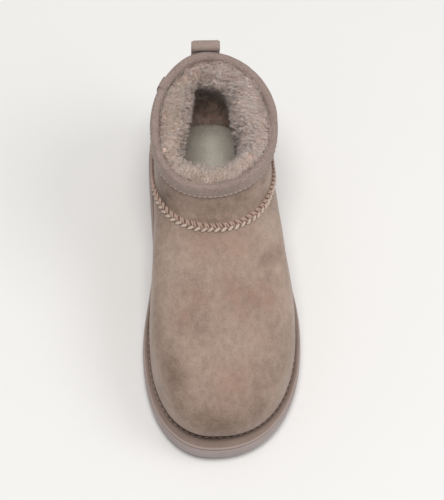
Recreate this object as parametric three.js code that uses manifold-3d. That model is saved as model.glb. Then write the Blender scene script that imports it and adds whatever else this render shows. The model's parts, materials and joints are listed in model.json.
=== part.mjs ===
// Ankle-high sheepskin boot for the left foot: two sheepskin panels joined by an overlock seam,
// a bound collar with a pull loop, and a light rubber sole under a stitched ledge.
// Millimetres. +Z is up, the toe points to -Y and the outer (lateral) side of the foot is +X.
// The origin is on the ground, under the middle of the sole.

import * as THREE from 'three';
import { mergeVertices } from 'three/addons/utils/BufferGeometryUtils.js';
import Module from 'manifold-3d';

const wasm = await Module();
wasm.setup();

// Driving dimensions
const LENGTH = 252; // sole, toe to heel
const BALL_WIDTH = 103; // sole, across the ball of the foot
const HEEL_WIDTH = 78; // sole, across the heel
const INSTEP = 95; // front of the ankle, where the two panels meet, above the ground
const COLLAR_FRONT = 125; // top edge of the skin at the front
const COLLAR_BACK = 131; // top edge of the skin at the back
const HEEL_STACK = 25; // ledge above the ground at the heel
const BALL_STACK = 17.5; // ledge above the ground at the ball
const TOE_SPRING = 5; // tip of the sole above the ground
const WAIST_RISE = 1.2; // underside of the sole above the ground at the arch
const WELT = 2; // thickness of the welt
const FOOT_WALL = 10.5; // suede and its wool, round the foot
const COLLAR_WALL = 19; // suede and its wool, round the ankle
const SKIN = 1.8; // suede with the wool trimmed off, inside the binding
const GAP = 0.3; // clearance between pieces

const TOE = -LENGTH / 2;
const HEEL = LENGTH / 2;
const BALL = BALL_WIDTH / 2;
const HEEL_IN = BALL - HEEL_WIDTH / 2; // how much narrower the heel is than the ball, each side
const RING_POINTS = 48; // corners round a ring, an even number

// Levels of the upper, from the ledge to the collar. Each is a ring in a plane that leans from
// its back point to its front point; x is where those two points lie.
const levels = [
  { name: 'feather', frontX: -6.2, frontY: TOE + 9.5, frontZ: 20, backX: -4.7, backY: HEEL - 7, backZ: 25 },
  { name: 'sidewall', frontX: -6, frontY: TOE + 5, frontZ: 32, backX: -4.7, backY: HEEL - 4.6, backZ: 34 },
  { name: 'toe box', frontX: -6, frontY: TOE + 8.5, frontZ: 48, backX: -4.8, backY: HEEL - 4, backZ: 43 },
  { name: 'toe top', frontX: -6, frontY: TOE + 25, frontZ: 62, backX: -5, backY: HEEL - 4.6, backZ: 51 },
  { name: 'vamp', frontX: -5.5, frontY: TOE + 57, frontZ: 72, backX: -5.2, backY: HEEL - 6.5, backZ: 59 },
  { name: 'throat', frontX: -5, frontY: TOE + 90, frontZ: 81, backX: -5.4, backY: HEEL - 9, backZ: 68 },
  { name: 'instep', frontX: -5, frontY: TOE + 121.5, frontZ: INSTEP, backX: -5.7, backY: HEEL - 12, backZ: 80 },
  { name: 'ankle', frontX: -6, frontY: TOE + 129, frontZ: 105, backX: -6, backY: HEEL - 15.5, backZ: 97 },
  { name: 'cuff', frontX: -7, frontY: TOE + 132.6, frontZ: 115, backX: -6.5, backY: HEEL - 19.6, backZ: 114 },
  {
    name: 'collar',
    frontX: -7.7,
    frontY: TOE + 133.5,
    frontZ: COLLAR_FRONT,
    backX: -6.7,
    backY: HEEL - 23.2,
    backZ: COLLAR_BACK,
  },
];
const TOP_LEVEL = levels.length - 1;
const instep = levels.find((level) => level.name === 'instep');

// Half of each level's outline, one row a level: how far the side stands from the foot's middle
// at the ball, the waist and the heel, where along the foot that is, and how square the ends are.
const lateral = [
  { ballX: BALL - 4.7, ballY: -42, waistX: 31.6, waistY: 58, heelX: 30.9, heelY: 80, front: 2.3, back: 2.5 },
  { ballX: BALL - 4.2, ballY: -42, waistX: 33.6, waistY: 57, heelX: 32.0, heelY: 79, front: 2.3, back: 2.5 },
  { ballX: BALL - 5.3, ballY: -38, waistX: 35.2, waistY: 54, heelX: 32.6, heelY: 76, front: 2.25, back: 2.5 },
  { ballX: BALL - 7.9, ballY: -24, waistX: 35.4, waistY: 54, heelX: 32.8, heelY: 74, front: 2.15, back: 2.4 },
  { ballX: BALL - 10.9, ballY: 0, waistX: 35.6, waistY: 52, heelX: 33, heelY: 72, front: 2.05, back: 2.3 },
  { ballX: BALL - 14, ballY: 22, waistX: 35.2, waistY: 52, heelX: 33, heelY: 70, front: 2, back: 2.25 },
  { ballX: BALL - 17.5, ballY: 44, waistX: 34, waistY: 52, heelX: 33.6, heelY: 60, front: 2.3, back: 2.1 },
  { ballX: BALL - 17.6, ballY: 47, waistX: 33.9, waistY: 52, heelX: 33.8, heelY: 57, front: 2.25, back: 2 },
  { ballX: BALL - 16.5, ballY: 50, waistX: 35, waistY: 53, heelX: 35, heelY: 56, front: 2.1, back: 1.95 },
  { ballX: BALL - 15.5, ballY: 50.5, waistX: 36, waistY: 53, heelX: 36, heelY: 56, front: 2.03, back: 1.9 },
];
const medial = [
  { ballX: BALL - 4.6, ballY: -53, waistX: 39.6, waistY: 22, heelX: 39.8, heelY: 76, front: 2.3, back: 2.5 },
  { ballX: BALL - 4.2, ballY: -52, waistX: 40.6, waistY: 22, heelX: 40.6, heelY: 76, front: 2.3, back: 2.5 },
  { ballX: BALL - 4.6, ballY: -48, waistX: 41.3, waistY: 24, heelX: 41.2, heelY: 74, front: 2.25, back: 2.5 },
  { ballX: BALL - 6.3, ballY: -32, waistX: 41.5, waistY: 26, heelX: 41.4, heelY: 70, front: 2.15, back: 2.4 },
  { ballX: BALL - 7.9, ballY: -8, waistX: 41.9, waistY: 30, heelX: 41.4, heelY: 66, front: 2.05, back: 2.3 },
  { ballX: BALL - 9.3, ballY: 14, waistX: 41.9, waistY: 36, heelX: 41.4, heelY: 62, front: 2, back: 2.25 },
  { ballX: BALL - 9.9, ballY: 40, waistX: 41.7, waistY: 46, heelX: 41.4, heelY: 56, front: 2.3, back: 2.1 },
  { ballX: BALL - 9.7, ballY: 44, waistX: 41.8, waistY: 48, heelX: 41.7, heelY: 54, front: 2.3, back: 2.05 },
  { ballX: BALL - 9.4, ballY: 46, waistX: 42.1, waistY: 49, heelX: 42.1, heelY: 53, front: 2.25, back: 1.94 },
  { ballX: BALL - 8.9, ballY: 47, waistX: 42.6, waistY: 49, heelX: 42.6, heelY: 52, front: 2.2, back: 1.86 },
];

// The same two halves for the sole's edge.
const soleTips = { frontX: -6.4, frontY: TOE, backX: -4.7, backY: HEEL };
const soleLateral = {
  ballX: BALL,
  ballY: -41,
  waistX: 35.4,
  waistY: 60,
  heelX: BALL - HEEL_IN - 4.7,
  heelY: 82,
  front: 2.25,
  back: 2.6,
};
const soleMedial = {
  ballX: BALL,
  ballY: -53,
  waistX: 42.6,
  waistY: 20,
  heelX: BALL - HEEL_IN + 4.7,
  heelY: 80,
  front: 2.3,
  back: 2.6,
};

// Height of the ledge along the foot.
const ledgeRows = [
  { y: TOE, z: BALL_STACK + 3 },
  { y: -96, z: BALL_STACK + 0.9 },
  { y: -62, z: BALL_STACK },
  { y: -20, z: BALL_STACK + 0.2 },
  { y: 30, z: HEEL_STACK - 4.6 },
  { y: 72, z: HEEL_STACK - 1 },
  { y: HEEL, z: HEEL_STACK + 0.6 },
];

const lerp = THREE.MathUtils.lerp;
const clamp = THREE.MathUtils.clamp;
const vec = (x, y, z) => new THREE.Vector3(x, y, z);

// A value that goes from a to b with no slope at either end.
const ease = (a, b, t) => lerp(a, b, t * t * (3 - 2 * t));

// One column of a table at a fractional row number, on a smooth curve through the rows.
function along(rows, column, at) {
  const i = clamp(Math.floor(at), 0, rows.length - 2);
  const t = at - i;
  const value = (row) => rows[clamp(row, 0, rows.length - 1)][column];
  const before = value(i - 1);
  const from = value(i);
  const to = value(i + 1);
  const after = value(i + 2);
  const slopeFrom = (to - before) / 2;
  const slopeTo = (after - from) / 2;
  const bend = 2 * from - 2 * to + slopeFrom + slopeTo;
  const lean = -3 * from + 3 * to - 2 * slopeFrom - slopeTo;
  return ((bend * t + lean) * t + slopeFrom) * t + from;
}

// All the numbers of a table at a fractional row number.
function rowAt(rows, at) {
  const columns = Object.keys(rows[0]).filter((column) => column !== 'name');
  return Object.fromEntries(columns.map((column) => [column, along(rows, column, at)]));
}

function ledgeHeight(y) {
  const next = ledgeRows.findIndex((row) => y <= row.y);
  const k = next < 0 ? ledgeRows.length - 1 : Math.max(next, 1);
  const span = ledgeRows[k].y - ledgeRows[k - 1].y;
  return along(ledgeRows, 'z', k - 1 + clamp((y - ledgeRows[k - 1].y) / span, 0, 1));
}

const outsoleTop = (y) => ledgeHeight(y) - WELT - GAP;

// Underside of the sole: flat at the heel and the ball, raised at the toe, the arch and the back edge.
function treadHeight(y) {
  const TOE_BREAK = -72;
  const WAIST_FRONT = -2;
  const WAIST_BACK = 50;
  const HEEL_BREAK = HEEL - 14;
  const HEEL_SPRING = 1.6;
  if (y < TOE_BREAK) return TOE_SPRING * ((TOE_BREAK - y) / (TOE_BREAK - TOE)) ** 2;
  if (y > HEEL_BREAK) return HEEL_SPRING * ((y - HEEL_BREAK) / (HEEL - HEEL_BREAK)) ** 2;
  if (y < WAIST_FRONT || y > WAIST_BACK) return 0;
  return WAIST_RISE * Math.sin((Math.PI * (y - WAIST_FRONT)) / (WAIST_BACK - WAIST_FRONT)) ** 2;
}

// One half of an outline as points [x, y] from the heel's back to the toe: a rounded heel, two
// easy curves through the waist, and a rounded front.
function halfOutline(tips, side, sign) {
  const STEPS = 40;
  const points = [];
  const stretch = (curve) => {
    for (let k = points.length ? 1 : 0; k <= STEPS; k++) points.push(curve(k / STEPS));
  };
  const out = (x) => sign * x;
  const rounded = (tipX, tipY, x, y, end, angle) => [
    lerp(tipX, out(x), Math.sin(angle) ** (2 / end)),
    lerp(y, tipY, Math.cos(angle) ** (2 / end)),
  ];
  const quarter = Math.PI / 2;
  const heel = [tips.backX, tips.backY, side.heelX, side.heelY, side.back];
  const toe = [tips.frontX, tips.frontY, side.ballX, side.ballY, side.front];
  stretch((t) => rounded(...heel, t * quarter));
  stretch((t) => [out(ease(side.heelX, side.waistX, t)), lerp(side.heelY, side.waistY, t)]);
  stretch((t) => [out(ease(side.waistX, side.ballX, t)), lerp(side.waistY, side.ballY, t)]);
  stretch((t) => rounded(...toe, (1 - t) * quarter));
  return points;
}

// Points spaced evenly along a line of points.
function spaced(points, count) {
  const reach = [0];
  for (let k = 1; k < points.length; k++) {
    const step = Math.hypot(...points[k].map((value, axis) => value - points[k - 1][axis]));
    reach.push(reach[k - 1] + step);
  }
  const total = reach[reach.length - 1];
  return Array.from({ length: count }, (_, n) => {
    const want = (total * n) / (count - 1);
    const passed = reach.filter((value) => value < want).length;
    const k = clamp(passed, 1, points.length - 1);
    const t = (want - reach[k - 1]) / (reach[k] - reach[k - 1] || 1);
    return points[k].map((value, axis) => lerp(points[k - 1][axis], value, t));
  });
}

// A whole outline: corner 0 at the back of the heel, up the lateral side to the apex, back on the medial.
function outline(tips, lateralSide, medialSide, count = RING_POINTS) {
  const outer = spaced(halfOutline(tips, lateralSide, 1), count / 2 + 1);
  const inner = spaced(halfOutline(tips, medialSide, -1), count / 2 + 1);
  return [...outer, ...inner.slice(1, -1).reverse()];
}

// An outline moved inwards by a distance.
function inset(points, distance) {
  return points.map((point, i) => {
    const before = points[(i + points.length - 1) % points.length];
    const after = points[(i + 1) % points.length];
    const run = Math.hypot(after[0] - before[0], after[1] - before[1]);
    return [
      point[0] + (distance * (after[1] - before[1])) / run,
      point[1] - (distance * (after[0] - before[0])) / run,
    ];
  });
}

// One ring of the upper's outside. The lowest rings follow the ledge instead of their own plane.
function upperRing(level, count = RING_POINTS) {
  const FREE_LEVEL = 2; // from here up a ring keeps to its own plane
  const tips = rowAt(levels, level);
  const shape = outline(tips, rowAt(lateral, level), rowAt(medial, level), count);
  const planeHeight = (row, y) => lerp(row.backZ, row.frontZ, (row.backY - y) / (row.backY - row.frontY));
  const sole = rowAt(levels, 0);
  const follow = ease(1, 0, clamp(level / FREE_LEVEL, 0, 1));
  return shape.map(([x, y]) => {
    const drop = ledgeHeight(y) + GAP - planeHeight(sole, y);
    return vec(x, y, planeHeight(tips, y) + follow * drop);
  });
}

// Point and outward direction of the upper's outside, at a level and a ring corner.
function skinPoint(level, corner, count = RING_POINTS) {
  const STEP = 0.05;
  const low = clamp(level - STEP, 0, TOP_LEVEL);
  const high = clamp(level + STEP, 0, TOP_LEVEL);
  const ring = upperRing(level, count);
  const up = upperRing(high, count)[corner].sub(upperRing(low, count)[corner]).normalize();
  const before = ring[(corner + count - 1) % count];
  const after = ring[(corner + 1) % count];
  const round = vec().subVectors(after, before).normalize();
  return { point: ring[corner], out: vec().crossVectors(up, round).normalize(), up };
}

// The level that lies a distance below the collar's edge, for one corner.
function levelBelowRim(corner, distance) {
  const STEP = 0.04;
  const LOWEST = TOP_LEVEL - 3;
  let above = upperRing(TOP_LEVEL)[corner];
  let walked = 0;
  for (let level = TOP_LEVEL - STEP; level > LOWEST; level -= STEP) {
    const here = upperRing(level)[corner];
    const step = here.distanceTo(above);
    if (walked + step >= distance) return level + STEP - (STEP * (distance - walked)) / step;
    walked += step;
    above = here;
  }
  return LOWEST;
}

// A ring set off from the outside: inwards by a depth, and below the rim by a distance, or above
// it where the distance is negative.
function rimRing(depth, below) {
  return Array.from({ length: RING_POINTS }, (_, corner) => {
    const skin = skinPoint(levelBelowRim(corner, Math.max(below, 0)), corner);
    return skin.point.clone().addScaledVector(skin.out, -depth).addScaledVector(skin.up, Math.max(-below, 0));
  });
}

// A ring of the upper's inside. At the ledge it is moved level, so that the upper's foot stays flat.
function insideRing(level) {
  const THICKENS_FROM = 4;
  const THICKENS_TO = TOP_LEVEL - 1;
  const TILTS_BY = 1.5; // from this level up the wall's thickness is square to its outside
  const thicker = (level - THICKENS_FROM) / (THICKENS_TO - THICKENS_FROM);
  const wall = ease(FOOT_WALL, COLLAR_WALL, clamp(thicker, 0, 1));
  const flat = ease(1, 0, clamp(level / TILTS_BY, 0, 1));
  return Array.from({ length: RING_POINTS }, (_, corner) => {
    const { point, out } = skinPoint(level, corner);
    const inwards = out.clone();
    inwards.z *= 1 - flat;
    return point.clone().addScaledVector(inwards.normalize(), -wall);
  });
}

// A mesh geometry from rings of points that are joined in order. A closed loft joins its last ring to its
// first; an open one is capped by strips across from the lateral to the medial side.
function loft(rings, closed) {
  const count = rings[0].length;
  const index = [];
  const quad = (a, b, c, d) => index.push(a, b, c, a, c, d);
  const last = closed ? rings.length : rings.length - 1;
  for (let r = 0; r < last; r++) {
    const low = r * count;
    const high = ((r + 1) % rings.length) * count;
    for (let i = 0; i < count; i++) {
      const j = (i + 1) % count;
      quad(low + i, high + i, high + j, low + j);
    }
  }
  if (!closed) {
    const top = (rings.length - 1) * count;
    for (let i = 0; i < count / 2; i++) {
      const j = (count - i) % count;
      const k = count - i - 1;
      quad(j, i, i + 1, k);
      quad(top + i, top + j, top + k, top + i + 1);
    }
  }
  const geometry = new THREE.BufferGeometry();
  const values = rings.flat().flatMap((point) => [point.x, point.y, point.z]);
  geometry.setAttribute('position', new THREE.Float32BufferAttribute(values, 3));
  geometry.setIndex(index.filter((_, n) => !flatTriangle(index, n - (n % 3))));
  return geometry;
}

function flatTriangle(index, first) {
  const [a, b, c] = index.slice(first, first + 3);
  return a === b || b === c || c === a;
}

// three.js geometry to a manifold solid, and back.
function toSolid(geometry) {
  const bare = new THREE.BufferGeometry();
  bare.setAttribute('position', geometry.getAttribute('position'));
  bare.setIndex(geometry.getIndex());
  const merged = mergeVertices(bare, 1e-4);
  const mesh = new wasm.Mesh({
    numProp: 3,
    vertProperties: new Float32Array(merged.getAttribute('position').array),
    triVerts: new Uint32Array(merged.getIndex().array),
  });
  mesh.merge();
  return new wasm.Manifold(mesh);
}

function toGeometry(solid) {
  const mesh = solid.getMesh();
  const geometry = new THREE.BufferGeometry();
  geometry.setAttribute('position', new THREE.Float32BufferAttribute(mesh.vertProperties, 3));
  geometry.setIndex(Array.from(mesh.triVerts));
  return geometry;
}

// A flat outline drawn in side view, as points [y, z], made a slab across the boot.
function sideSlab(points, fromX, toX) {
  const shape = new THREE.Shape(points.map(([y, z]) => new THREE.Vector2(y, z)));
  const geometry = new THREE.ExtrudeGeometry(shape, { depth: toX - fromX, bevelEnabled: false });
  geometry.applyMatrix4(new THREE.Matrix4().set(0, 0, 1, fromX, 1, 0, 0, 0, 0, 1, 0, 0, 0, 0, 0, 1));
  return geometry;
}

// ---- outsole ----

const soleEdge = outline(soleTips, soleLateral, soleMedial);
// Wall of the sole from the tread to the ledge: how far in from the edge, and where in height.
const soleWall = [
  { inset: 3.4, above: 0 },
  { inset: 1.5, above: 0.9 },
  { inset: 0.5, above: 3 },
  { inset: 0, half: true },
  { inset: 0.3, under: 2.5 },
  { inset: 0.7, under: 0.7 },
  { inset: 1.5, under: 0 },
];

function soleWallHeight(row, y) {
  if (row.half) return (treadHeight(y) + outsoleTop(y)) / 2;
  return row.above === undefined ? outsoleTop(y) - row.under : treadHeight(y) + row.above;
}

function soleBody() {
  const ring = (row) => inset(soleEdge, row.inset).map(([x, y]) => vec(x, y, soleWallHeight(row, y)));
  return toSolid(loft(soleWall.map(ring), false));
}

// One groove across the tread: a bowed bar that stops short of the edge.
function groove(y, width, depth) {
  const MARGIN = 8;
  const BOW = 5;
  const SLICES = 4;
  const BELOW = 4; // how far the cutting bar starts under the tread
  const NEAR = 7;
  const edge = inset(soleEdge, MARGIN);
  const reach = (sign) => {
    const near = edge.filter(([x, edgeY]) => x * sign > 0 && Math.abs(edgeY - y) < NEAR);
    return Math.min(...near.map(([x]) => Math.abs(x))) * sign;
  };
  const left = reach(-1);
  const right = reach(1);
  const across = Array.from({ length: SLICES + 1 }, (_, k) => {
    const t = k / SLICES;
    return new THREE.Vector2(lerp(left, right, t), y - BOW * (1 - (2 * t - 1) ** 2));
  });
  const shape = new THREE.Shape([
    ...across.map((point) => new THREE.Vector2(point.x, point.y - width / 2)),
    ...across.reverse().map((point) => new THREE.Vector2(point.x, point.y + width / 2)),
  ]);
  const geometry = new THREE.ExtrudeGeometry(shape, { depth: BELOW + depth, bevelEnabled: false });
  geometry.translate(0, 0, treadHeight(y) - BELOW);
  return toSolid(geometry);
}

function outsole() {
  const PITCH = 13;
  const WIDTH = 4.5;
  const DEPTH = 2.2;
  const FIRST = TOE + 24;
  const LAST = HEEL - 14;
  let body = soleBody();
  for (let y = FIRST; y < LAST; y += PITCH) body = body.subtract(groove(y, WIDTH, DEPTH));
  return toGeometry(body);
}

// ---- welt and insole ----

const footInside = insideRing(0).map((point) => [point.x, point.y]);

function welt() {
  const edge = [
    { inset: 1, z: (y) => outsoleTop(y) + GAP },
    { inset: 0.4, z: (y) => outsoleTop(y) + GAP + WELT / 2 },
    { inset: 1, z: ledgeHeight },
  ];
  const ring = (points, height) => points.map(([x, y]) => vec(x, y, height(y)));
  const outer = edge.map((row) => ring(inset(soleEdge, row.inset), row.z));
  const inner = [ledgeHeight, (y) => outsoleTop(y) + GAP].map((height) => ring(footInside, height));
  return loft([...outer, ...inner], true);
}

function insole() {
  const CLEAR = 0.6;
  const PILE = 7; // top of the footbed above the ledge
  const EDGE = 2;
  const rows = [
    { inset: CLEAR, z: (y) => outsoleTop(y) + GAP },
    { inset: CLEAR, z: (y) => ledgeHeight(y) + PILE - EDGE },
    { inset: CLEAR + EDGE, z: (y) => ledgeHeight(y) + PILE },
  ];
  return loft(rows.map((row) => inset(footInside, row.inset).map(([x, y]) => vec(x, y, row.z(y)))), false);
}

// ---- upper: vamp and shaft are one shell, parted along the overlock seam ----

// Steps of the inside below the rim: the skin alone inside the binding, then the wool that stands up
// beside the binding and swells inwards.
const rimSteps = [
  { depth: SKIN, below: 0 },
  { depth: SKIN, below: 7.4 },
  { depth: 3.5, below: 7.4 },
  { depth: 4.2, below: 3.4 },
  { depth: 8, below: 2 },
  { depth: 13.5, below: 3.6 },
  { depth: 17.6, below: 9 },
  { depth: COLLAR_WALL, below: 18 },
];

function upperShell() {
  const OUTSIDE_RINGS = 27;
  const INSIDE_RINGS = 14;
  const INSIDE_TOP = TOP_LEVEL - 2.35; // above this level the inside is set by the rim steps
  const spread = (count, top) => Array.from({ length: count + 1 }, (_, k) => (top * k) / count);
  const outer = spread(OUTSIDE_RINGS, TOP_LEVEL).map((level) => upperRing(level));
  const inner = spread(INSIDE_RINGS, INSIDE_TOP).map((level) => insideRing(level));
  const rim = rimSteps.map((row) => rimRing(row.depth, row.below));
  return toSolid(loft([...outer, ...rim, ...inner.reverse()], true));
}

// The seam in side view, from in front of the ankle down to the ledge near the heel.
const seamLine = new THREE.SplineCurve([
  new THREE.Vector2(instep.frontY - 30, INSTEP + 3),
  new THREE.Vector2(instep.frontY, INSTEP),
  new THREE.Vector2(28, INSTEP - 7),
  new THREE.Vector2(58, INSTEP - 23),
  new THREE.Vector2(80, INSTEP - 46),
  new THREE.Vector2(94, HEEL_STACK),
  new THREE.Vector2(99, -5),
]);

// The side of the boot in front of the seam, as a slab, with the seam's edge moved back by an amount.
function frontSlab(shift) {
  const STEPS = 24;
  const CLEAR = 20; // beyond the toe and below the ground
  const REACH = 90; // to either side
  const edge = Array.from({ length: STEPS + 1 }, (_, k) => {
    const point = seamLine.getPoint(k / STEPS);
    const tangent = seamLine.getTangent(k / STEPS);
    return [point.x - tangent.y * shift, point.y + tangent.x * shift];
  });
  const front = TOE - CLEAR;
  const under = -CLEAR;
  const around = [[front, edge[0][1]], [front, under], [edge[STEPS][0], under], ...edge.reverse()];
  return toSolid(sideSlab(around, -REACH, REACH));
}

// Where the outside crosses the seam, from the lateral ledge over the instep to the medial ledge: points
// with the outward direction after them.
function seamRoute() {
  const STEP = 0.1;
  const FINE = 12 * RING_POINTS;
  const SEAM_STEPS = 400;
  const END = 2.2; // the braid's ends above the ledge
  const seamPoints = seamLine.getPoints(SEAM_STEPS);
  const underSeam = (point) => {
    const k = seamPoints.findIndex((seamPoint) => seamPoint.x >= point.y);
    return k < 0 ? -1 : seamPoints[k].y - point.z;
  };
  const route = [];
  let ring = upperRing(0, FINE);
  for (let level = 0; level < TOP_LEVEL; level += STEP) {
    const next = upperRing(level + STEP, FINE);
    ring.forEach((point, corner) => {
      const under = underSeam(point);
      const over = underSeam(next[corner]);
      if (under <= 0 || over > 0) return;
      const place = point.clone().lerp(next[corner], under / (under - over));
      if (place.z < ledgeHeight(place.y) + END) return;
      const round = vec().subVectors(ring[(corner + 1) % FINE], ring[(corner + FINE - 1) % FINE]);
      const out = vec().subVectors(next[corner], point).cross(round).normalize();
      route[corner] = [...place.toArray(), ...out.toArray()];
    });
    ring = next;
  }
  return route.filter((values) => values);
}

// A braid of round section, half sunk in the groove between the panels. Width runs across the seam.
function seamTube(grow) {
  const STEPS = 52;
  const SIDES = 8;
  const WIDTH = 6.4;
  const PROUD = 2.2;
  const SUNK = 1.4;
  const route = spaced(seamRoute(), STEPS + 1).map((values) => ({
    point: vec(...values.slice(0, 3)),
    out: vec(...values.slice(3)).normalize(),
  }));
  const rings = route.map(({ point, out }, k) => {
    const before = route[Math.max(k - 1, 0)].point;
    const after = route[Math.min(k + 1, STEPS)].point;
    const tangent = vec().subVectors(after, before).normalize();
    const across = vec().crossVectors(tangent, out).normalize();
    return Array.from({ length: SIDES }, (_, side) => {
      const angle = (2 * Math.PI * side) / SIDES;
      const rise = Math.sin(angle) > 0 ? PROUD + grow : SUNK + grow;
      return point
        .clone()
        .addScaledVector(across, (WIDTH / 2 + grow) * Math.cos(angle))
        .addScaledVector(out, rise * Math.sin(angle));
    });
  });
  return loft(rings, false);
}

const shell = upperShell();
const seamGroove = toSolid(seamTube(GAP));
const vamp = toGeometry(shell.intersect(frontSlab(-GAP / 2)).subtract(seamGroove));
const shaft = toGeometry(shell.subtract(frontSlab(GAP / 2)).subtract(seamGroove));

// ---- binding: a strip folded over the edge of the skin ----

// Section of the folded strip, round its outside and back along the fold's inside.
const bindingSection = [
  { out: 1.2, below: 9.5 },
  { out: 1.3, below: 4 },
  { out: 1.1, below: -0.3 },
  { out: 0.3, below: -1.2 },
  { out: -1.9, below: -1.2 },
  { out: -2.9, below: -0.3 },
  { out: -3, below: 7 },
  { out: -SKIN - GAP, below: 7 },
  { out: -SKIN - GAP, below: -GAP },
  { out: GAP, below: -GAP },
  { out: GAP, below: 9.5 },
];

const binding = loft(bindingSection.map((row) => rimRing(-row.out, row.below)), true);

// ---- pull loop: a strap doubled over, both ends on the outside of the collar's back ----

function pullLoop() {
  const WIDTH = 18.4;
  const THICK = 1.3;
  const back = levels[TOP_LEVEL];
  const route = new THREE.SplineCurve(
    [
      [back.backY + 5.7, back.backZ - 18],
      [back.backY + 4.1, back.backZ - 10],
      [back.backY + 2.6, back.backZ - 1],
      [back.backY + 0.6, back.backZ + 2.8],
      [back.backY + 0.1, back.backZ + 5.6],
      [back.backY + 2.2, back.backZ + 8.4],
      [back.backY + 5.8, back.backZ + 8],
      [back.backY + 7.9, back.backZ + 4],
      [back.backY + 6.7, back.backZ - 3],
      [back.backY + 5.9, back.backZ - 10],
      [back.backY + 7.4, back.backZ - 18],
    ].map(([y, z]) => new THREE.Vector2(y, z)),
  );
  const STEPS = 36;
  const edge = (side) =>
    Array.from({ length: STEPS + 1 }, (_, k) => {
      const point = route.getPoint(k / STEPS);
      const tangent = route.getTangent(k / STEPS);
      return [point.x - (side * tangent.y * THICK) / 2, point.y + (side * tangent.x * THICK) / 2];
    });
  return sideSlab([...edge(1), ...edge(-1).reverse()], back.backX - WIDTH / 2, back.backX + WIDTH / 2);
}

// ---- the assembly ----

function piece(name, geometry, color, roughness) {
  const material = new THREE.MeshStandardMaterial({ color, roughness, metalness: 0 });
  const mesh = new THREE.Mesh(geometry, material);
  mesh.name = name;
  return mesh;
}

const boot = new THREE.Group();
boot.add(piece('outsole', outsole(), '#8d8688', 0.75));
boot.add(piece('welt', welt(), '#8a7b70', 0.9));
boot.add(piece('insole', insole(), '#a9a08c', 1));
boot.add(piece('vamp', vamp, '#96867b', 0.95));
boot.add(piece('shaft', shaft, '#8e7f74', 0.95));
boot.add(piece('overlock_seam', seamTube(0), '#c2aca0', 0.85));
boot.add(piece('binding', binding, '#85766d', 0.95));
boot.add(piece('pull_loop', pullLoop(), '#8b7c72', 0.95));

export default boot;
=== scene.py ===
import json
import math

import bmesh
import bpy
import numpy as np
from mathutils import Matrix, Quaternion, Vector, noise

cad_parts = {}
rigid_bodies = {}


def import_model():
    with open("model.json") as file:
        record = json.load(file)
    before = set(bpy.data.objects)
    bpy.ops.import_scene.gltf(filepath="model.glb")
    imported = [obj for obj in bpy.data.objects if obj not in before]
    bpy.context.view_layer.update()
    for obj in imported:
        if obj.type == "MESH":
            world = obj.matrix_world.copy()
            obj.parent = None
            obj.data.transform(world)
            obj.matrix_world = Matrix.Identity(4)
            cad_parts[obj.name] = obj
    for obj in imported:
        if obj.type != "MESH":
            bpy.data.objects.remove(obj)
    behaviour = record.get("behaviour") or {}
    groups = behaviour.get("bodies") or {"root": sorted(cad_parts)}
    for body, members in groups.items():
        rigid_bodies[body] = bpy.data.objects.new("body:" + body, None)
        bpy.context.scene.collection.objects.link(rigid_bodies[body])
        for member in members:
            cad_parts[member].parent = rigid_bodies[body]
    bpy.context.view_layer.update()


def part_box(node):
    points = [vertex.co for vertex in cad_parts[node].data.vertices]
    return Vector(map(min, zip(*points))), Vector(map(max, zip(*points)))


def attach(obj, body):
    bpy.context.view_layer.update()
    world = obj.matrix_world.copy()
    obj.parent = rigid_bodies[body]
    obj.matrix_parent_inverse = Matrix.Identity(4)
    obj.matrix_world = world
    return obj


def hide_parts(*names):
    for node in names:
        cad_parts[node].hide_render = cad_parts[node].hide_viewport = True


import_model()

# ---- Camera, light and floor ----
# The boot stands on a pale floor and is seen from high in front, slightly from its medial side, with
# the camera rolled a little. A soft lamp hangs high in front of the boot, a weaker one to its lateral
# side, and an even white sky fills in.

target = Vector((0.0010, -0.0028, 0.0600))
azimuth, elevation, roll = (math.radians(angle) for angle in (-4.76, 62.46, 2.75))
distance = 2.0
backwards = Vector((
    math.sin(azimuth) * math.cos(elevation),
    -math.cos(azimuth) * math.cos(elevation),
    math.sin(elevation),
))


def placed(name, data):
    """An object in the scene made of the given data."""
    made = bpy.data.objects.new(name, data)
    bpy.context.scene.collection.objects.link(made)
    return made


camera = placed("camera", bpy.data.cameras.new("camera"))
camera.data.sensor_width = 36
camera.data.lens = 222.84
camera.data.clip_start = 0.05
camera.location = target + backwards * distance
camera.rotation_mode = "QUATERNION"
camera.rotation_quaternion = (-backwards).to_track_quat("-Z", "Y") @ Quaternion((0, 0, 1), roll)
bpy.context.scene.camera = camera
bpy.context.scene.view_settings.view_transform = "Standard"


def soft_light(name, place, size, power, tint):
    lamp = bpy.data.lights.new(name, "AREA")
    lamp.shape = "DISK"
    lamp.size = size
    lamp.energy = power
    lamp.color = tint
    holder = placed(name, lamp)
    holder.location = place
    holder.rotation_mode = "QUATERNION"
    holder.rotation_quaternion = (Vector((0, 0, 0.05)) - Vector(place)).to_track_quat("-Z", "Y")


soft_light("overhead", (-0.08, -0.36, 1.84), size=0.6, power=17, tint=(1, 0.988, 0.972))
soft_light("lateral side", (1.1, -0.3, 1.5), size=1.0, power=7, tint=(1, 0.99, 0.98))

sky = bpy.data.worlds.new("studio")
bpy.context.scene.world = sky
sky.use_nodes = True
sky.node_tree.nodes["Background"].inputs["Color"].default_value = (0.985, 0.99, 1, 1)
sky.node_tree.nodes["Background"].inputs["Strength"].default_value = 0.47


def tone(red, green, blue):
    """A colour given on the usual 0 to 255 scale, as the linear values that a shader takes."""
    parts = (value / 255 for value in (red, green, blue))
    return (*(((part + 0.055) / 1.055) ** 2.4 if part > 0.04 else part / 12.92 for part in parts), 1)


def feed(tree, node, inputs):
    """Sets each input of a node to a plain value, or links it to a socket."""
    for key, value in inputs.items():
        if isinstance(value, bpy.types.NodeSocket):
            tree.links.new(value, node.inputs[key])
        else:
            node.inputs[key].default_value = value


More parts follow.
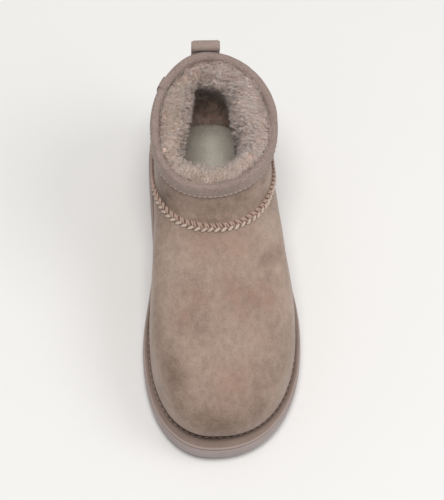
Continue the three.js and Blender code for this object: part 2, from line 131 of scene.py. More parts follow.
def add_node(tree, kind, inputs, settings):
    node = tree.nodes.new(kind)
    for key, value in settings.items():
        setattr(node, key, value)
    feed(tree, node, inputs)
    return node.outputs


class Shader:
    """A material's node tree, with a short way to add a node and set or link its inputs."""

    def __init__(self, name, roughness):
        self.material = bpy.data.materials.new(name)
        self.material.use_nodes = True
        self.tree = self.material.node_tree
        self.surface = self.tree.nodes["Principled BSDF"]
        self.surface.inputs["Roughness"].default_value = roughness
        self.place = self.tree.nodes.new("ShaderNodeTexCoord").outputs["Object"]

    def add(self, kind, inputs, **settings):
        return add_node(self.tree, kind, inputs, settings)[0]

    def grain(self, size, detail=2, low=0.35, high=0.65, stretch=(1, 1, 1)):
        """Soft noise from 0 to 1 whose blotches are about size metres across."""
        place = self.place
        if stretch != (1, 1, 1):
            place = self.add("ShaderNodeMapping", {"Vector": place, "Scale": stretch})
        spots = self.add("ShaderNodeTexNoise", {"Vector": place, "Scale": 1 / size, "Detail": detail})
        return self.add("ShaderNodeMapRange", {"Value": spots, "From Min": low, "From Max": high})

    def value(self, name):
        """A number painted on the mesh."""
        node = self.tree.nodes.new("ShaderNodeAttribute")
        node.attribute_name = name
        return node.outputs["Fac"]

    def blend(self, amount, first, second):
        inputs = {"Fac": amount, "Color1": first, "Color2": second}
        return self.add("ShaderNodeMixRGB", inputs)

    def times(self, first, second):
        return self.add("ShaderNodeMath", {0: first, 1: second}, operation="MULTIPLY")

    def plus(self, first, second):
        return self.add("ShaderNodeMath", {0: first, 1: second}, operation="ADD")

    def finish(self, colour, height, depth, strength, **surface):
        """Links colour and bump to the surface, and sets its other sockets to plain numbers."""
        bump = self.add("ShaderNodeBump", {"Height": height, "Distance": depth, "Strength": strength})
        feed(self.tree, self.surface, {"Base Color": colour, "Normal": bump})
        for key, value in surface.items():
            socket = key.replace("_", " ").title().replace("Ior", "IOR")
            feed(self.tree, self.surface, {socket: value})
        return self.material


def paint(mesh, painted):
    """Stores a number for each point of a mesh under each name."""
    for key, values in painted.items():
        layer = mesh.attributes.new(key, "FLOAT", "POINT")
        layer.data.foreach_set("value", np.asarray(values, np.float32).ravel())


def solid(name, points, faces, material, painted=None, crease=None):
    """A closed mesh object, in metres from millimetres, smooth, with its faces turned outwards."""
    mesh = bpy.data.meshes.new(name)
    mesh.from_pydata((np.asarray(points) / 1000).tolist(), [], faces)
    paint(mesh, painted or {})
    form = bmesh.new()
    form.from_mesh(mesh)
    bmesh.ops.remove_doubles(form, verts=form.verts, dist=1e-6)
    bmesh.ops.recalc_face_normals(form, faces=form.faces)
    form.to_mesh(mesh)
    form.free()
    mesh.shade_smooth()
    if crease:
        mesh.set_sharp_from_angle(angle=math.radians(crease))
    mesh.materials.append(material)
    return placed(name, mesh)


def pale_floor():
    shader = Shader("floor paper", 0.9)
    mottle = shader.grain(0.3)
    colour = shader.blend(mottle, tone(240, 239, 237), tone(238, 237, 235))
    return shader.finish(colour, shader.grain(0.004), depth=0.0001, strength=0.1, specular_ior_level=0.1)


floor_reach = 4000
floor_corners = [(-1, -1), (1, -1), (1, 1), (-1, 1)]
floor = solid(
    "floor",
    [(x * floor_reach, y * floor_reach, 0) for x, y in floor_corners],
    [(0, 1, 2, 3)],
    pale_floor(),
)

# ---- Outsole ----
# One moulding of light blown rubber, thick under the heel and turned up a little at the toe. Its wall
# is smooth, and bowed bars with grooves between them cross the tread.

sole_low, sole_high = (np.array(corner) * 1000 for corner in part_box("outsole"))
heel = sole_high[1]
toe = sole_low[1]
ball = (sole_high[0] - sole_low[0]) / 2
heel_half = 39
welt_thick = 2
gap = 0.3


def lerp(start, end, share):
    return start + (end - start) * share


def unit(lines):
    """Lines of any length, brought to length one."""
    return lines / np.maximum(np.linalg.norm(lines, axis=-1, keepdims=True), 1e-9)


def ease(start, end, share):
    share = np.clip(share, 0, 1)
    return lerp(start, end, share * share * (3 - 2 * share))


def table(columns, *rows):
    """Rows of numbers as named columns."""
    return dict(zip(columns.split(), np.array(rows, float).T))


def along(column, at):
    """A column's value at a fractional row, on a smooth curve through the rows."""
    last = len(column) - 1
    at = np.clip(at, 0, last)
    row = np.clip(np.floor(at).astype(int), 0, last - 1)
    share = at - row
    before, start, end, after = (column[np.clip(row + step, 0, last)] for step in (-1, 0, 1, 2))
    leave = (end - before) / 2
    arrive = (after - start) / 2
    bend = 2 * start - 2 * end + leave + arrive
    lean = -3 * start + 3 * end - 2 * leave - arrive
    return ((bend * share + lean) * share + leave) * share + start


def at_row(columns, at):
    return {key: float(along(column, at)) for key, column in columns.items()}


ledge = table(
    "y z",
    (toe, 20.5), (-96, 18.4), (-62, 17.5), (-20, 17.7), (30, 20.4), (72, 24), (heel, 25.6),
)


def ledge_height(y):
    """Height of the ledge that the upper stands on, along the foot."""
    y = np.clip(y, toe, heel)
    row = np.clip(np.searchsorted(ledge["y"], y) - 1, 0, len(ledge["y"]) - 2)
    share = (y - ledge["y"][row]) / (ledge["y"][row + 1] - ledge["y"][row])
    return along(ledge["z"], row + share)


def outsole_top(y):
    return ledge_height(y) - welt_thick - gap


def tread_height(y):
    """Underside of the sole: on the floor at the heel and the ball, raised at toe, arch and heel edge."""
    toe_break, heel_break, waist_front, waist_back = -72, heel - 14, -2, 50
    toe_spring, heel_spring, waist_rise = 5, 1.6, 1.2
    waist = np.clip((y - waist_front) / (waist_back - waist_front), 0, 1)
    rise = waist_rise * np.sin(np.pi * waist) ** 2
    rise = rise + toe_spring * (np.clip(toe_break - y, 0, None) / (toe_break - toe)) ** 2
    return rise + heel_spring * (np.clip(y - heel_break, 0, None) / (heel - heel_break)) ** 2


def half_outline(tips, side, sign):
    """One half of an outline from the heel's back to the toe: a rounded heel, two eases, a rounded toe."""
    steps = np.linspace(0, 1, 161)

    def rounded(tip_x, tip_y, x, y, squareness, angle):
        across = lerp(tip_x, sign * x, np.sin(angle) ** (2 / squareness))
        return np.column_stack([across, lerp(y, tip_y, np.abs(np.cos(angle)) ** (2 / squareness))])

    def eased(x, y, next_x, next_y):
        return np.column_stack([sign * ease(x, next_x, steps), lerp(y, next_y, steps)])[1:]

    quarter = np.pi / 2
    heel_end = (tips["back_x"], tips["back_y"], side["heel_x"], side["heel_y"], side["back_end"])
    toe_end = (tips["front_x"], tips["front_y"], side["ball_x"], side["ball_y"], side["front_end"])
    return np.vstack([
        rounded(*heel_end, steps * quarter),
        eased(side["heel_x"], side["heel_y"], side["waist_x"], side["waist_y"]),
        eased(side["waist_x"], side["waist_y"], side["ball_x"], side["ball_y"]),
        rounded(*toe_end, (1 - steps) * quarter)[1:],
    ])


def spaced(points, count, *carried):
    """Points spaced evenly along a line of points, beside any directions carried along with them."""
    points = np.asarray(points, float)
    reach = np.concatenate([[0], np.cumsum(np.linalg.norm(np.diff(points, axis=0), axis=1))])
    want = np.linspace(0, reach[-1], count)
    columns = np.hstack([points, *carried]).T
    return np.column_stack([np.interp(want, reach, column) for column in columns])


def outline(tips, lateral_side, medial_side, count):
    """A closed outline, corner 0 at the heel's back, up the lateral side to the toe, back on the medial."""
    outer = spaced(half_outline(tips, lateral_side, 1), count // 2 + 1)
    inner = spaced(half_outline(tips, medial_side, -1), count // 2 + 1)
    return np.vstack([outer, inner[1:-1][::-1]])


def inset(points, distance):
    """An outline moved inwards."""
    run = np.roll(points, -1, axis=0) - np.roll(points, 1, axis=0)
    run = unit(run)
    return points + distance * np.column_stack([run[:, 1], -run[:, 0]])


def rising(points, height):
    """A flat outline given a height that depends on y."""
    return np.column_stack([points, height(points[:, 1])])


sole_tips = {"front_x": -6.4, "front_y": toe, "back_x": -4.7, "back_y": heel}
sides = "ball_x ball_y waist_x waist_y heel_x heel_y front_end back_end"
sole_lateral = dict(zip(sides.split(), (ball, -41, 35.4, 60, heel_half - 4.7, 82, 2.25, 2.6)))
sole_medial = dict(zip(sides.split(), (ball, -53, 42.6, 20, heel_half + 4.7, 80, 2.3, 2.6)))


def sole_edge(count):
    return outline(sole_tips, sole_lateral, sole_medial, count)


def strips(rows, count, wrap_rows=False):
    """Faces between rings of count corners, joined in order."""
    corner = np.arange(count)
    following = (corner + 1) % count
    faces = []
    for row in range(rows if wrap_rows else rows - 1):
        low = row * count
        high = ((row + 1) % rows) * count
        faces += np.column_stack([low + corner, low + following, high + following, high + corner]).tolist()
    return faces


def cap(points, first, count, across, height):
    """Closes a ring with rows that run across from the lateral to the medial side, at a given height."""
    points = list(points)
    ring_points = np.array(points[first:first + count])
    rows = [[first] * (across + 1)]
    shares = np.linspace(0, 1, across + 1)[1:-1]
    for station in range(1, count // 2):
        left, right = ring_points[station], ring_points[count - station]
        inner = left + (right - left) * shares[:, None]
        inner[:, 2] = height(inner, lerp(left[2], right[2], shares))
        added = range(len(points), len(points) + across - 1)
        rows.append([first + station, *added, first + count - station])
        points.extend(inner)
    rows.append([first + count // 2] * (across + 1))
    faces = []
    for row, following in zip(rows, rows[1:]):
        for k in range(across):
            face = list(dict.fromkeys((row[k], row[k + 1], following[k + 1], following[k])))
            if len(face) > 2:
                faces.append(face)
    return points, faces


def rubber():
    shader = Shader("blown rubber", 0.62)
    cloud = shader.grain(0.045, detail=3)
    cells = shader.grain(0.0009, detail=3)
    scuff = shader.grain(0.006, detail=4, low=0.5, high=0.72)
    colour = shader.blend(cloud, tone(162, 147, 144), tone(172, 158, 156))
    colour = shader.blend(shader.times(scuff, 0.35), colour, tone(146, 132, 128))
    colour = shader.blend(shader.times(cells, 0.2), colour, tone(180, 166, 163))
    return shader.finish(colour, cells, depth=0.00012, strength=0.35, specular_ior_level=0.35)


def groove_depth(points):
    """How far the tread is cut away: bowed grooves across it that stop short of the edge."""
    pitch, width, depth, bow, margin, wall = 13, 4.5, 2.2, 5, 8, 0.9
    edge = sole_edge(960)
    half = len(edge) // 2
    lateral_x = np.interp(points[:, 1], edge[half::-1, 1], edge[half::-1, 0])
    medial_x = np.interp(points[:, 1], edge[half:, 1], edge[half:, 0])
    share = np.clip((points[:, 0] - medial_x) / np.maximum(lateral_x - medial_x, 1), 0, 1)
    straight = points[:, 1] + bow * (1 - (2 * share - 1) ** 2)
    first, last = toe + 24, heel - 14
    grooves = np.floor((last - first) / pitch)
    nearest = np.clip(np.round((straight - first) / pitch), 0, grooves) * pitch + first
    inside = np.minimum(points[:, 0] - medial_x, lateral_x - points[:, 0])
    from_wall = np.minimum(width / 2 - np.abs(straight - nearest), inside - margin)
    return depth * ease(0, 1, from_wall / wall + 0.5)


def outsole():
    count, across = 560, 60
    wall = table(
        "inset share above",
        (3.6, 0, 0), (2.6, 0, 0.15), (1.7, 0, 0.6), (1.1, 0, 1.4), (0.7, 0, 2.6), (0.3, 0.3, 1),
        (0, 0.55, 0), (0, 0.75, 0), (0.05, 0.9, 0), (0.15, 1, -0.7), (0.4, 1, -0.15), (0.9, 1, 0),
    )
    rings = []
    for depth, share, above in zip(*wall.values()):
        flat = inset(sole_edge(count), depth)
        rings.append(rising(flat, lambda y: lerp(tread_height(y), outsole_top(y), share) + above))
    points, faces = np.vstack(rings), strips(len(rings), count)
    top_ring = (len(rings) - 1) * count
    points, under = cap(points, 0, count, across, lambda p, z: tread_height(p[:, 1]) + groove_depth(p))
    points, top = cap(points, top_ring, count, across=2, height=lambda p, z: z)
    return solid("outsole_moulding", points, faces + under + top, rubber(), crease=50)


sole_piece = outsole()
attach(sole_piece, "root")
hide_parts("outsole")

# ---- Vamp ----
# The front panel of twinface sheepskin, suede outside: toe, instep and both sides down to the ledge.
# It is cut in one piece, pulled over the last, and turned in under itself where it meets the ledge.

skin_thick = 1.8
levels = table(
    "front_x front_y front_z back_x back_y back_z",
    (-6.2, toe + 9.5, 20, -4.7, heel - 7, 25),  # feather, on the ledge
    (-6, toe + 5, 32, -4.7, heel - 4.6, 34),  # sidewall
    (-6, toe + 8.5, 48, -4.8, heel - 4, 43),  # toe box
    (-6, toe + 25, 62, -5, heel - 4.6, 51),  # toe top
    (-5.5, toe + 57, 72, -5.2, heel - 6.5, 59),  # vamp
    (-5, toe + 90, 81, -5.4, heel - 9, 68),  # throat
    (-5, toe + 121.5, 95, -5.7, heel - 12, 80),  # instep
    (-6, toe + 129, 105, -6, heel - 15.5, 97),  # ankle
    (-7, toe + 132.6, 115, -6.5, heel - 19.6, 114),  # cuff
    (-7.7, toe + 133.5, 125, -6.7, heel - 23.2, 131),  # collar
)
lateral = table(
    sides,
    (ball - 4.7, -42, 31.6, 58, 30.9, 80, 2.3, 2.5),
    (ball - 4.2, -42, 33.6, 57, 32.0, 79, 2.3, 2.5),
    (ball - 5.3, -38, 35.2, 54, 32.6, 76, 2.25, 2.5),
    (ball - 7.9, -24, 35.4, 54, 32.8, 74, 2.15, 2.4),
    (ball - 10.9, 0, 35.6, 52, 33, 72, 2.05, 2.3),
    (ball - 14, 22, 35.2, 52, 33, 70, 2, 2.25),
    (ball - 17.5, 44, 34, 52, 33.6, 60, 2.3, 2.1),
    (ball - 17.6, 47, 33.9, 52, 33.8, 57, 2.25, 2),
    (ball - 16.5, 50, 35, 53, 35, 56, 2.1, 1.95),
    (ball - 15.5, 50.5, 36, 53, 36, 56, 2.03, 1.9),
)
medial = table(
    sides,
    (ball - 4.6, -53, 39.6, 22, 39.8, 76, 2.3, 2.5),
    (ball - 4.2, -52, 40.6, 22, 40.6, 76, 2.3, 2.5),
    (ball - 4.6, -48, 41.3, 24, 41.2, 74, 2.25, 2.5),
    (ball - 6.3, -32, 41.5, 26, 41.4, 70, 2.15, 2.4),
    (ball - 7.9, -8, 41.9, 30, 41.4, 66, 2.05, 2.3),
    (ball - 9.3, 14, 41.9, 36, 41.4, 62, 2, 2.25),
    (ball - 9.9, 40, 41.7, 46, 41.4, 56, 2.3, 2.1),
    (ball - 9.7, 44, 41.8, 48, 41.7, 54, 2.3, 2.05),
    (ball - 9.4, 46, 42.1, 49, 42.1, 53, 2.25, 1.94),
    (ball - 8.9, 47, 42.6, 49, 42.6, 52, 2.2, 1.86),
)
top_level = len(levels["front_x"]) - 1
corners = 300  # round the upper


def upper_ring(level, count=corners):
    """One ring of the upper's outside, in a leaning plane. The lowest rings follow the ledge instead."""
    tips = at_row(levels, level)
    feather = at_row(levels, 0)
    flat = outline(tips, at_row(lateral, level), at_row(medial, level), count)

    def leaning(row, y):
        return lerp(row["back_z"], row["front_z"], (row["back_y"] - y) / (row["back_y"] - row["front_y"]))

    def height(y):
        return leaning(tips, y) + ease(1, 0, level / 2) * (ledge_height(y) + gap - leaning(feather, y))

    return rising(flat, height)


level_step = 0.04
level_rows = np.arange(0, top_level + level_step / 2, level_step)
skin_form = np.stack([upper_ring(level) for level in level_rows])
skin_up = np.gradient(skin_form, axis=0)
skin_round = np.roll(skin_form, -1, axis=1) - np.roll(skin_form, 1, axis=1)
skin_out = np.cross(skin_up, skin_round)
skin_out = unit(skin_out)
skin_up = unit(skin_up)


def on_skin(form, level, corner=None):
    """Values of a form of the upper at one level for each corner, or at levels and corners given."""
    corner = np.arange(corners) if corner is None else np.asarray(corner)
    at = np.clip(np.asarray(level) / level_step, 0, len(level_rows) - 1.001)
    row = at.astype(int)
    share = (at - row)[..., None]
    near = np.floor(corner).astype(int)
    turn = (corner - near)[..., None]
    near, far = near % corners, (near + 1) % corners
    low = lerp(form[row, near], form[row, far], turn)
    high = lerp(form[row + 1, near], form[row + 1, far], turn)
    return lerp(low, high, share)


seam = table("y z", (-34.5, 98), (-4.5, 95), (28, 88), (58, 72), (80, 49), (94, 25), (99, -5))
seam_fine = np.linspace(0, len(seam["y"]) - 1, 400)
seam_y, seam_z = along(seam["y"], seam_fine), along(seam["z"], seam_fine)
under_seam = np.interp(skin_form[:, :, 1], seam_y, seam_z) - skin_form[:, :, 2]


def seam_level_of(corner):
    below = np.nonzero((under_seam[:-1, corner] > 0) & (under_seam[1:, corner] <= 0))[0]
    if not len(below):
        return 0.0
    row = below[-1]
    under, over = under_seam[row, corner], under_seam[row + 1, corner]
    return (row + under / (under - over)) * level_step


seam_level = np.array([seam_level_of(corner) for corner in range(corners)])

# Creases and hollows of the worn-in skin: where on the boot, half length, half width, the turn of its
# length in plan, and the height of the ridge or, below nought, the depth of the trough.
folds = table(
    "x y z long wide turn height",
    (32, -16, 76, 10, 3.6, 36, -1.9),  # dent low on the lateral instep
    (34, -24, 71, 10, 3.2, 24, 1.1),  # ridge under that dent
    (27, -76, 64, 9, 2.6, -12, -0.7),  # short crease over the little toe
    (27, -81, 62, 9, 2.8, -12, 0.6),
    (-2, -6, 92, 26, 5, 4, -0.7),  # trough under the seam at the instep
    (4, -27, 80, 30, 7, -6, 0.45),
    (-20, -44, 76, 22, 9, 20, -0.5),
    (20, -62, 68, 20, 9, -20, -0.45),
    (-40, 30, 62, 18, 6, 80, -0.9),  # hollow under the medial ankle
    (-28, 10, 104, 14, 4, -28, -1.2),  # folds across the front of the shaft
    (-10, 0, 98, 24, 3, -4, 0.9),
    (12, 3, 103, 16, 4, 14, -1),
    (24, 24, 108, 14, 5, -55, -0.7),
    (-5, 100, 84, 24, 7, 0, -0.9),  # sag above the heel
    (-5, 110, 62, 30, 8, 0, 0.5),
    (-38, 72, 92, 8, 20, 10, -0.7),
    (30, 74, 92, 8, 20, -10, -0.7),
)


def fold_height(points):
    total = np.zeros(points.shape[:-1])
    for x, y, z, long, wide, turn, height in zip(*folds.values()):
        away = points - np.array([x, y, z])
        cos, sin = math.cos(math.radians(turn)), math.sin(math.radians(turn))
        length = away[..., 0] * cos + away[..., 1] * sin
        width = np.hypot(-away[..., 0] * sin + away[..., 1] * cos, away[..., 2])
        total += height * np.exp(-((length / long) ** 2) - (width / wide) ** 2)
    return total


def waves(points, size, seed):
    """Smooth noise about -1 to 1 over points, with blotches about size millimetres across."""
    shift = np.array([seed * 17.3, seed * -9.1, seed * 5.7])
    flat = (points.reshape(-1, 3) / size + shift).tolist()
    return np.array([noise.noise(place) for place in flat]).reshape(points.shape[:-1])


def relief(points):
    """How far the skin stands out from the plain form, in millimetres: folds, sags and small bumps."""
    sag, bump = 0.55, 0.2
    return fold_height(points) + sag * waves(points, 34, 1) + bump * waves(points, 12, 2)


# Where the nap is stroked darker or lighter, or shows redder, and where light and shade are painted into
# the suede: painted shade in the dent low on the lateral instep and along the toe's lower edge, painted
# highlight on the ridge under that dent and as sheen along the lateral side of the vamp and shaft. Place,
# radius, and how much of each.
nap_and_painted_light_patches = table(
    "x y z radius light warm",
    (-34, -82, 59, 8, -1.0, 0),
    (-31, -92, 56, 8, -1.0, 0),
    (-30, -106, 47, 8, -0.8, 0),
    (-12, -117, 42, 14, -0.7, 0),
    (4, -118, 42, 14, -0.7, 0),
    (21, -110, 46, 8, -0.7, 0),
    (27, -20, 77, 4, -0.7, 0.2),
    (32, -16, 76, 4.5, -0.8, 0.2),
    (37, -12, 73, 4, -0.6, 0),
    (35, -24, 71, 4, 0.6, 0),
    (-18, -100, 58, 8, 0.6, 0),
    (-20, -88, 62, 11, 0.4, 0),
    (1, -97, 60, 13, 0.1, 0.7),
    (25, -45, 73, 9, -0.3, 1.0),
    (9, -50, 76, 9, -0.3, 1.0),
    (4, -36, 80, 6, -0.4, 0.6),
    (-25, -57, 72, 8, -0.15, 0.7),
    (-16, -44, 77, 7, -0.2, 0.7),
    (9, -14, 89, 11, 0.1, 0.7),
    (-12, -14, 88, 10, 0.0, 0.7),
    (-26, -24, 80, 11, 0.5, 0),
    (-43, -13, 69, 6, -0.4, 0),
    (-38, -34, 66, 14, 0.25, 0),
    (34, -2, 81, 14, 0.9, 0),
    (43, -34, 60, 14, 0.8, 0),
    (0, -112, 45, 14, -0.2, 0),
    (22, -66, 67, 10, 0.3, 0.3),
    (-9, -72, 70, 12, 0.3, 0),
    (39, -48, 62, 8, 0.6, 0),
    (36, -22, 70, 6, 0.6, 0.1),
    (38, 8, 70, 9, 0.5, 0),
    (-5, -7, 97, 10, -0.6, 0),
    (-14, 5, 106, 10, 0.3, 0.3),
    (-38, 16, 95, 14, -1.2, 0),
    (-20, 6, 92, 9, 0.4, 0),
    (21, 13, 105, 7, 0.6, 0),
    (12, 4, 100, 6, 0.3, 0),
    (31, 30, 97, 10, 1.1, 0),
    (-40, 60, 60, 18, -0.4, 0.2),
    (36, 84, 60, 16, 0.4, 0),
    (-5, 112, 70, 18, -0.4, 0.2),
    (-10, 118, 40, 14, 0.4, 0),
)


def nap_with_painted_light(points):
    # The light column sums the nap's own stroking with painted shade and painted highlight.
    light, warm = np.zeros(len(points)), np.zeros(len(points))
    for x, y, z, radius, lighter, warmer in zip(*nap_and_painted_light_patches.values()):
        near = np.exp(-(np.linalg.norm(points - np.array([x, y, z]), axis=1) / radius) ** 2)
        light += lighter * near
        warm += warmer * near
    return {"nap_and_painted_light": light, "nap_warm": np.clip(warm, 0, 1)}


def suede(name, dark, light, warm, mottled=1.0, grainy=0.4):
    """Brushed suede: stroked patches, drifting mottle, a fine grain of raised fibres, and the painted shade
    and highlight that each piece carries with its nap.
    """
    shader = Shader(name, 0.95)
    patches = shader.grain(0.024, detail=4, low=0.32, high=0.68)
    strokes = shader.grain(0.0045, detail=4, low=0.3, high=0.7, stretch=(1.15, 0.85, 1))
    fibres = shader.grain(0.0011, detail=4, low=0.3, high=0.7)
    amount = shader.plus(shader.times(patches, 0.4 * mottled), shader.times(strokes, 0.42 * mottled))
    amount = shader.plus(amount, shader.times(fibres, grainy))
    # Painted shade and painted highlight from the patches table, mixed with the nap's own stroking.
    amount = shader.plus(amount, shader.times(shader.value("nap_and_painted_light"), 0.5))
    amount = shader.add("ShaderNodeMapRange", {"Value": amount, "From Min": -0.1, "From Max": 1.2})
    colour = shader.blend(amount, dark, light)
    warmth = shader.times(shader.value("nap_warm"), shader.grain(0.011, detail=3, low=0.3, high=0.6))
    warmth = shader.times(shader.plus(warmth, shader.times(shader.grain(0.018), 0.14)), 0.6)
    colour = shader.blend(warmth, colour, warm)
    height = shader.plus(fibres, shader.times(strokes, 1.5))
    return shader.finish(
        colour, height, depth=0.00022, strength=0.55, specular_ior_level=0.15,
        sheen_weight=0.3, sheen_roughness=0.45, sheen_tint=(0.95, 0.88, 0.84, 1),
    )


upper_suede = suede("suede", tone(124, 104, 91), tone(176, 155, 141), tone(163, 128, 113))


def border_roll(distance, edge_height, reach):
    """A panel's edge swells or tucks in over a short reach from its border."""
    return edge_height * np.exp(-((distance / reach) ** 2))


def panel(low, high, rows, first, last, roll_low, roll_high):
    """One panel of skin between two levels at each corner, from the first corner to the last.

    The panel is calm near its borders. Each roll is how far that border stands out, and over what reach.
    """
    calm_reach = 6
    corner = np.arange(first, last + 1)
    share = np.linspace(0, 1, rows)[:, None]
    level = low[corner % corners] * (1 - share) + high[corner % corners] * share
    where = np.broadcast_to(corner, level.shape)
    plain = on_skin(skin_form, level, where)
    out = on_skin(skin_out, level, where)
    steps = np.linalg.norm(np.diff(plain, axis=0), axis=2)
    climbed = np.vstack([np.zeros((1, len(corner))), np.cumsum(steps, axis=0)])
    roll = border_roll(climbed, *roll_low) + border_roll(climbed[-1] - climbed, *roll_high)
    calm = ease(0, 1, np.minimum(climbed, climbed[-1] - climbed) / calm_reach)
    outer = plain + out * (relief(plain) * calm + roll)[:, :, None]
    inner = outer - out * skin_thick
    return outer, inner


def sheet_faces(rows, columns, closed):
    """Faces of a thin solid from an outer and an inner grid, with its borders closed."""
    here = np.arange(rows * columns).reshape(rows, columns)
    if closed:
        here = np.hstack([here, here[:, :1]])
    under = here + rows * columns
    faces = []

    def quads(a, b, c, d):
        faces.extend(np.column_stack([part.ravel() for part in (a, b, c, d)]).tolist())

    quads(here[:-1, :-1], here[:-1, 1:], here[1:, 1:], here[1:, :-1])
    quads(under[:-1, :-1], under[1:, :-1], under[1:, 1:], under[:-1, 1:])
    for line, below in ((here[0], under[0]), (here[-1], under[-1])):
        quads(line[:-1], line[1:], below[1:], below[:-1])
    if not closed:
        for line, below in ((here[:, 0], under[:, 0]), (here[:, -1], under[:, -1])):
            quads(line[:-1], line[1:], below[1:], below[:-1])
    return faces


def skin_piece(name, outer, inner, closed, material):
    points = np.vstack([outer.reshape(-1, 3), inner.reshape(-1, 3)])
    faces = sheet_faces(outer.shape[0], outer.shape[1], closed)
    piece = solid(name, points, faces, material, painted=nap_with_painted_light(points), crease=60)
    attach(piece, "root")
    return piece


seam_gap = 0.02  # in levels, on each side of the join
in_front = np.nonzero(seam_level > 0)[0]
vamp_first, vamp_last = in_front[0], in_front[-1]
vamp_outer, vamp_inner = panel(
    np.zeros(corners), seam_level - seam_gap, rows=92, first=vamp_first, last=vamp_last,
    roll_low=(-1.0, 1.6), roll_high=(0.5, 2.4),
)
vamp = skin_piece("vamp_skin", vamp_outer, vamp_inner, closed=False, material=upper_suede)
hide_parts("vamp")

# ---- Shaft ----
# The second panel of sheepskin goes round the ankle and the heel. Its lower edge butts against the
# vamp's under the overlock seam, and its top edge runs up into the binding.

# The same sheepskin as the vamp, its tones darkened as painted shade because the upright shaft takes less
# of the overhead light.
shaded_shaft_suede = suede("shaded shaft suede", tone(106, 88, 76), tone(168, 147, 133), tone(150, 120, 106))
shaft_outer, shaft_inner = panel(
    seam_level + seam_gap, np.full(corners, float(top_level)), rows=64, first=0, last=corners - 1,
    roll_low=(0.6, 2.6), roll_high=(0, 1),
)
shaft = skin_piece("shaft_skin", shaft_outer, shaft_inner, closed=True, material=shaded_shaft_suede)
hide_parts("shaft")

# ---- Welt ----
# A flat strip covered in the same suede, let in between the upper and the sole. The upper is sewn to
# it along a row of short stitches that sits in the crook between the two.

foot_wall, collar_wall = 10.5, 19


def inside_ring(level, thinner=0.0):
    """A ring of the upper's inside, its wool counted in the wall."""
    wall = ease(foot_wall, collar_wall, (level - 4) / (top_level - 5)) - thinner
    wall = np.broadcast_to(wall, (corners,))[:, None]
    flat = ease(1, 0, level / 1.5)
    everywhere = np.full(corners, float(level))
    outwards = unit(on_skin(skin_out, everywhere) * np.array([1, 1, 1 - flat]))
    return on_skin(skin_form, everywhere) - outwards * wall


def welt_suede():
    shader = Shader("welt suede", 0.95)
    patches = shader.grain(0.02, detail=3, low=0.3, high=0.7)
    fibres = shader.grain(0.0012, detail=4, low=0.25, high=0.75)
    amount = shader.plus(shader.times(patches, 0.5), shader.times(fibres, 0.4))
    colour = shader.blend(amount, tone(124, 107, 98), tone(156, 138, 129))
    # Painted highlight along the welt's rounded outer edge, where it turns down to the sole.
    colour = shader.blend(shader.times(shader.value("painted_edge_highlight"), 0.75), colour, tone(178, 162, 155))
    # Painted shade in the crook where the upper meets the welt.
    colour = shader.blend(shader.times(shader.value("crook"), 0.5), colour, tone(100, 84, 75))
    return shader.finish(
        colour, fibres, depth=0.00025, strength=0.6, specular_ior_level=0.15,
        sheen_weight=0.2, sheen_roughness=0.5, sheen_tint=(0.95, 0.88, 0.83, 1),
    )


def welt():
    foot = inside_ring(0)[:, :2]
    feather = upper_ring(0)[:, :2]
    edge = sole_edge(corners)
    # Share of the way from the feather to the edge, inset from there, height over the ledge, then how much
    # painted highlight lightens its rounded outer edge and how much painted shade darkens it in the crook.
    ledge_rows = table(
        "share inset above worn crook",
        (0, 0.6, 0, 0, 1), (0, -0.3, -0.1, 0, 1), (0, -0.9, -0.35, 0, 1), (0, -1.5, -0.15, 0, 0.5),
        (0, -2.1, 0.1, 0, 0.1), (0.5, 0, 0.2, 0, 0), (1, 2.2, 0.15, 0, 0), (1, 1.5, 0.1, 0.1, 0),
        (1, 0.95, -0.05, 0.7, 0), (1, 0.55, -0.3, 1, 0), (1, 0.3, -0.8, 0.5, 0), (1, 0.25, -1.5, 0, 0),
        (1, 0.4, -1.9, 0, 0), (1, 1.1, -welt_thick, 0, 0),
    )
    rings = [rising(foot, ledge_height)]
    edge_highlight, crook = [0], [1]
    for share, inwards, above, edge_highlight_here, crook_shade_here in zip(*ledge_rows.values()):
        flat = inset(lerp(feather, edge, share), inwards)
        rings.append(rising(flat, lambda y: ledge_height(y) + above))
        edge_highlight.append(edge_highlight_here)
        crook.append(crook_shade_here)
    rings.append(rising(foot, lambda y: ledge_height(y) - welt_thick))
    painted = {
        "painted_edge_highlight": np.repeat([*edge_highlight, 0], corners),
        "crook": np.repeat([*crook, 0], corners),
    }
    points = np.vstack(rings)
    wobble, uneven_rings = 0.12 * waves(points, 7, 6), 9
    points[:, 2] += wobble * (np.arange(len(points)) < corners * uneven_rings)
    faces = strips(len(rings), corners, wrap_rows=True)
    return solid("welt_strip", points, faces, welt_suede(), painted, crease=55)


welt_piece = welt()
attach(welt_piece, "root")
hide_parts("welt")


def input_names(tree):
    return {item.name: item.identifier for item in tree.interface.items_tree if item.in_out == "INPUT"}


def grown(name, guide, tree, material, **inputs):
    """Runs a geometry tree on a guide object and returns the result as a plain mesh object."""
    modifier = guide.modifiers.new("tree", "NODES")
    modifier.node_group = tree
    names = input_names(tree)
    modifier[names["Material"]] = material
    for key, value in inputs.items():
        modifier[names[key.replace("_", " ").capitalize()]] = value
    bpy.context.view_layer.update()
    graph = bpy.context.evaluated_depsgraph_get()
    mesh = bpy.data.meshes.new_from_object(guide.evaluated_get(graph), depsgraph=graph)
    mesh.name = name
    guide.modifiers.remove(modifier)
    bpy.data.objects.remove(guide)
    return placed(name, mesh)


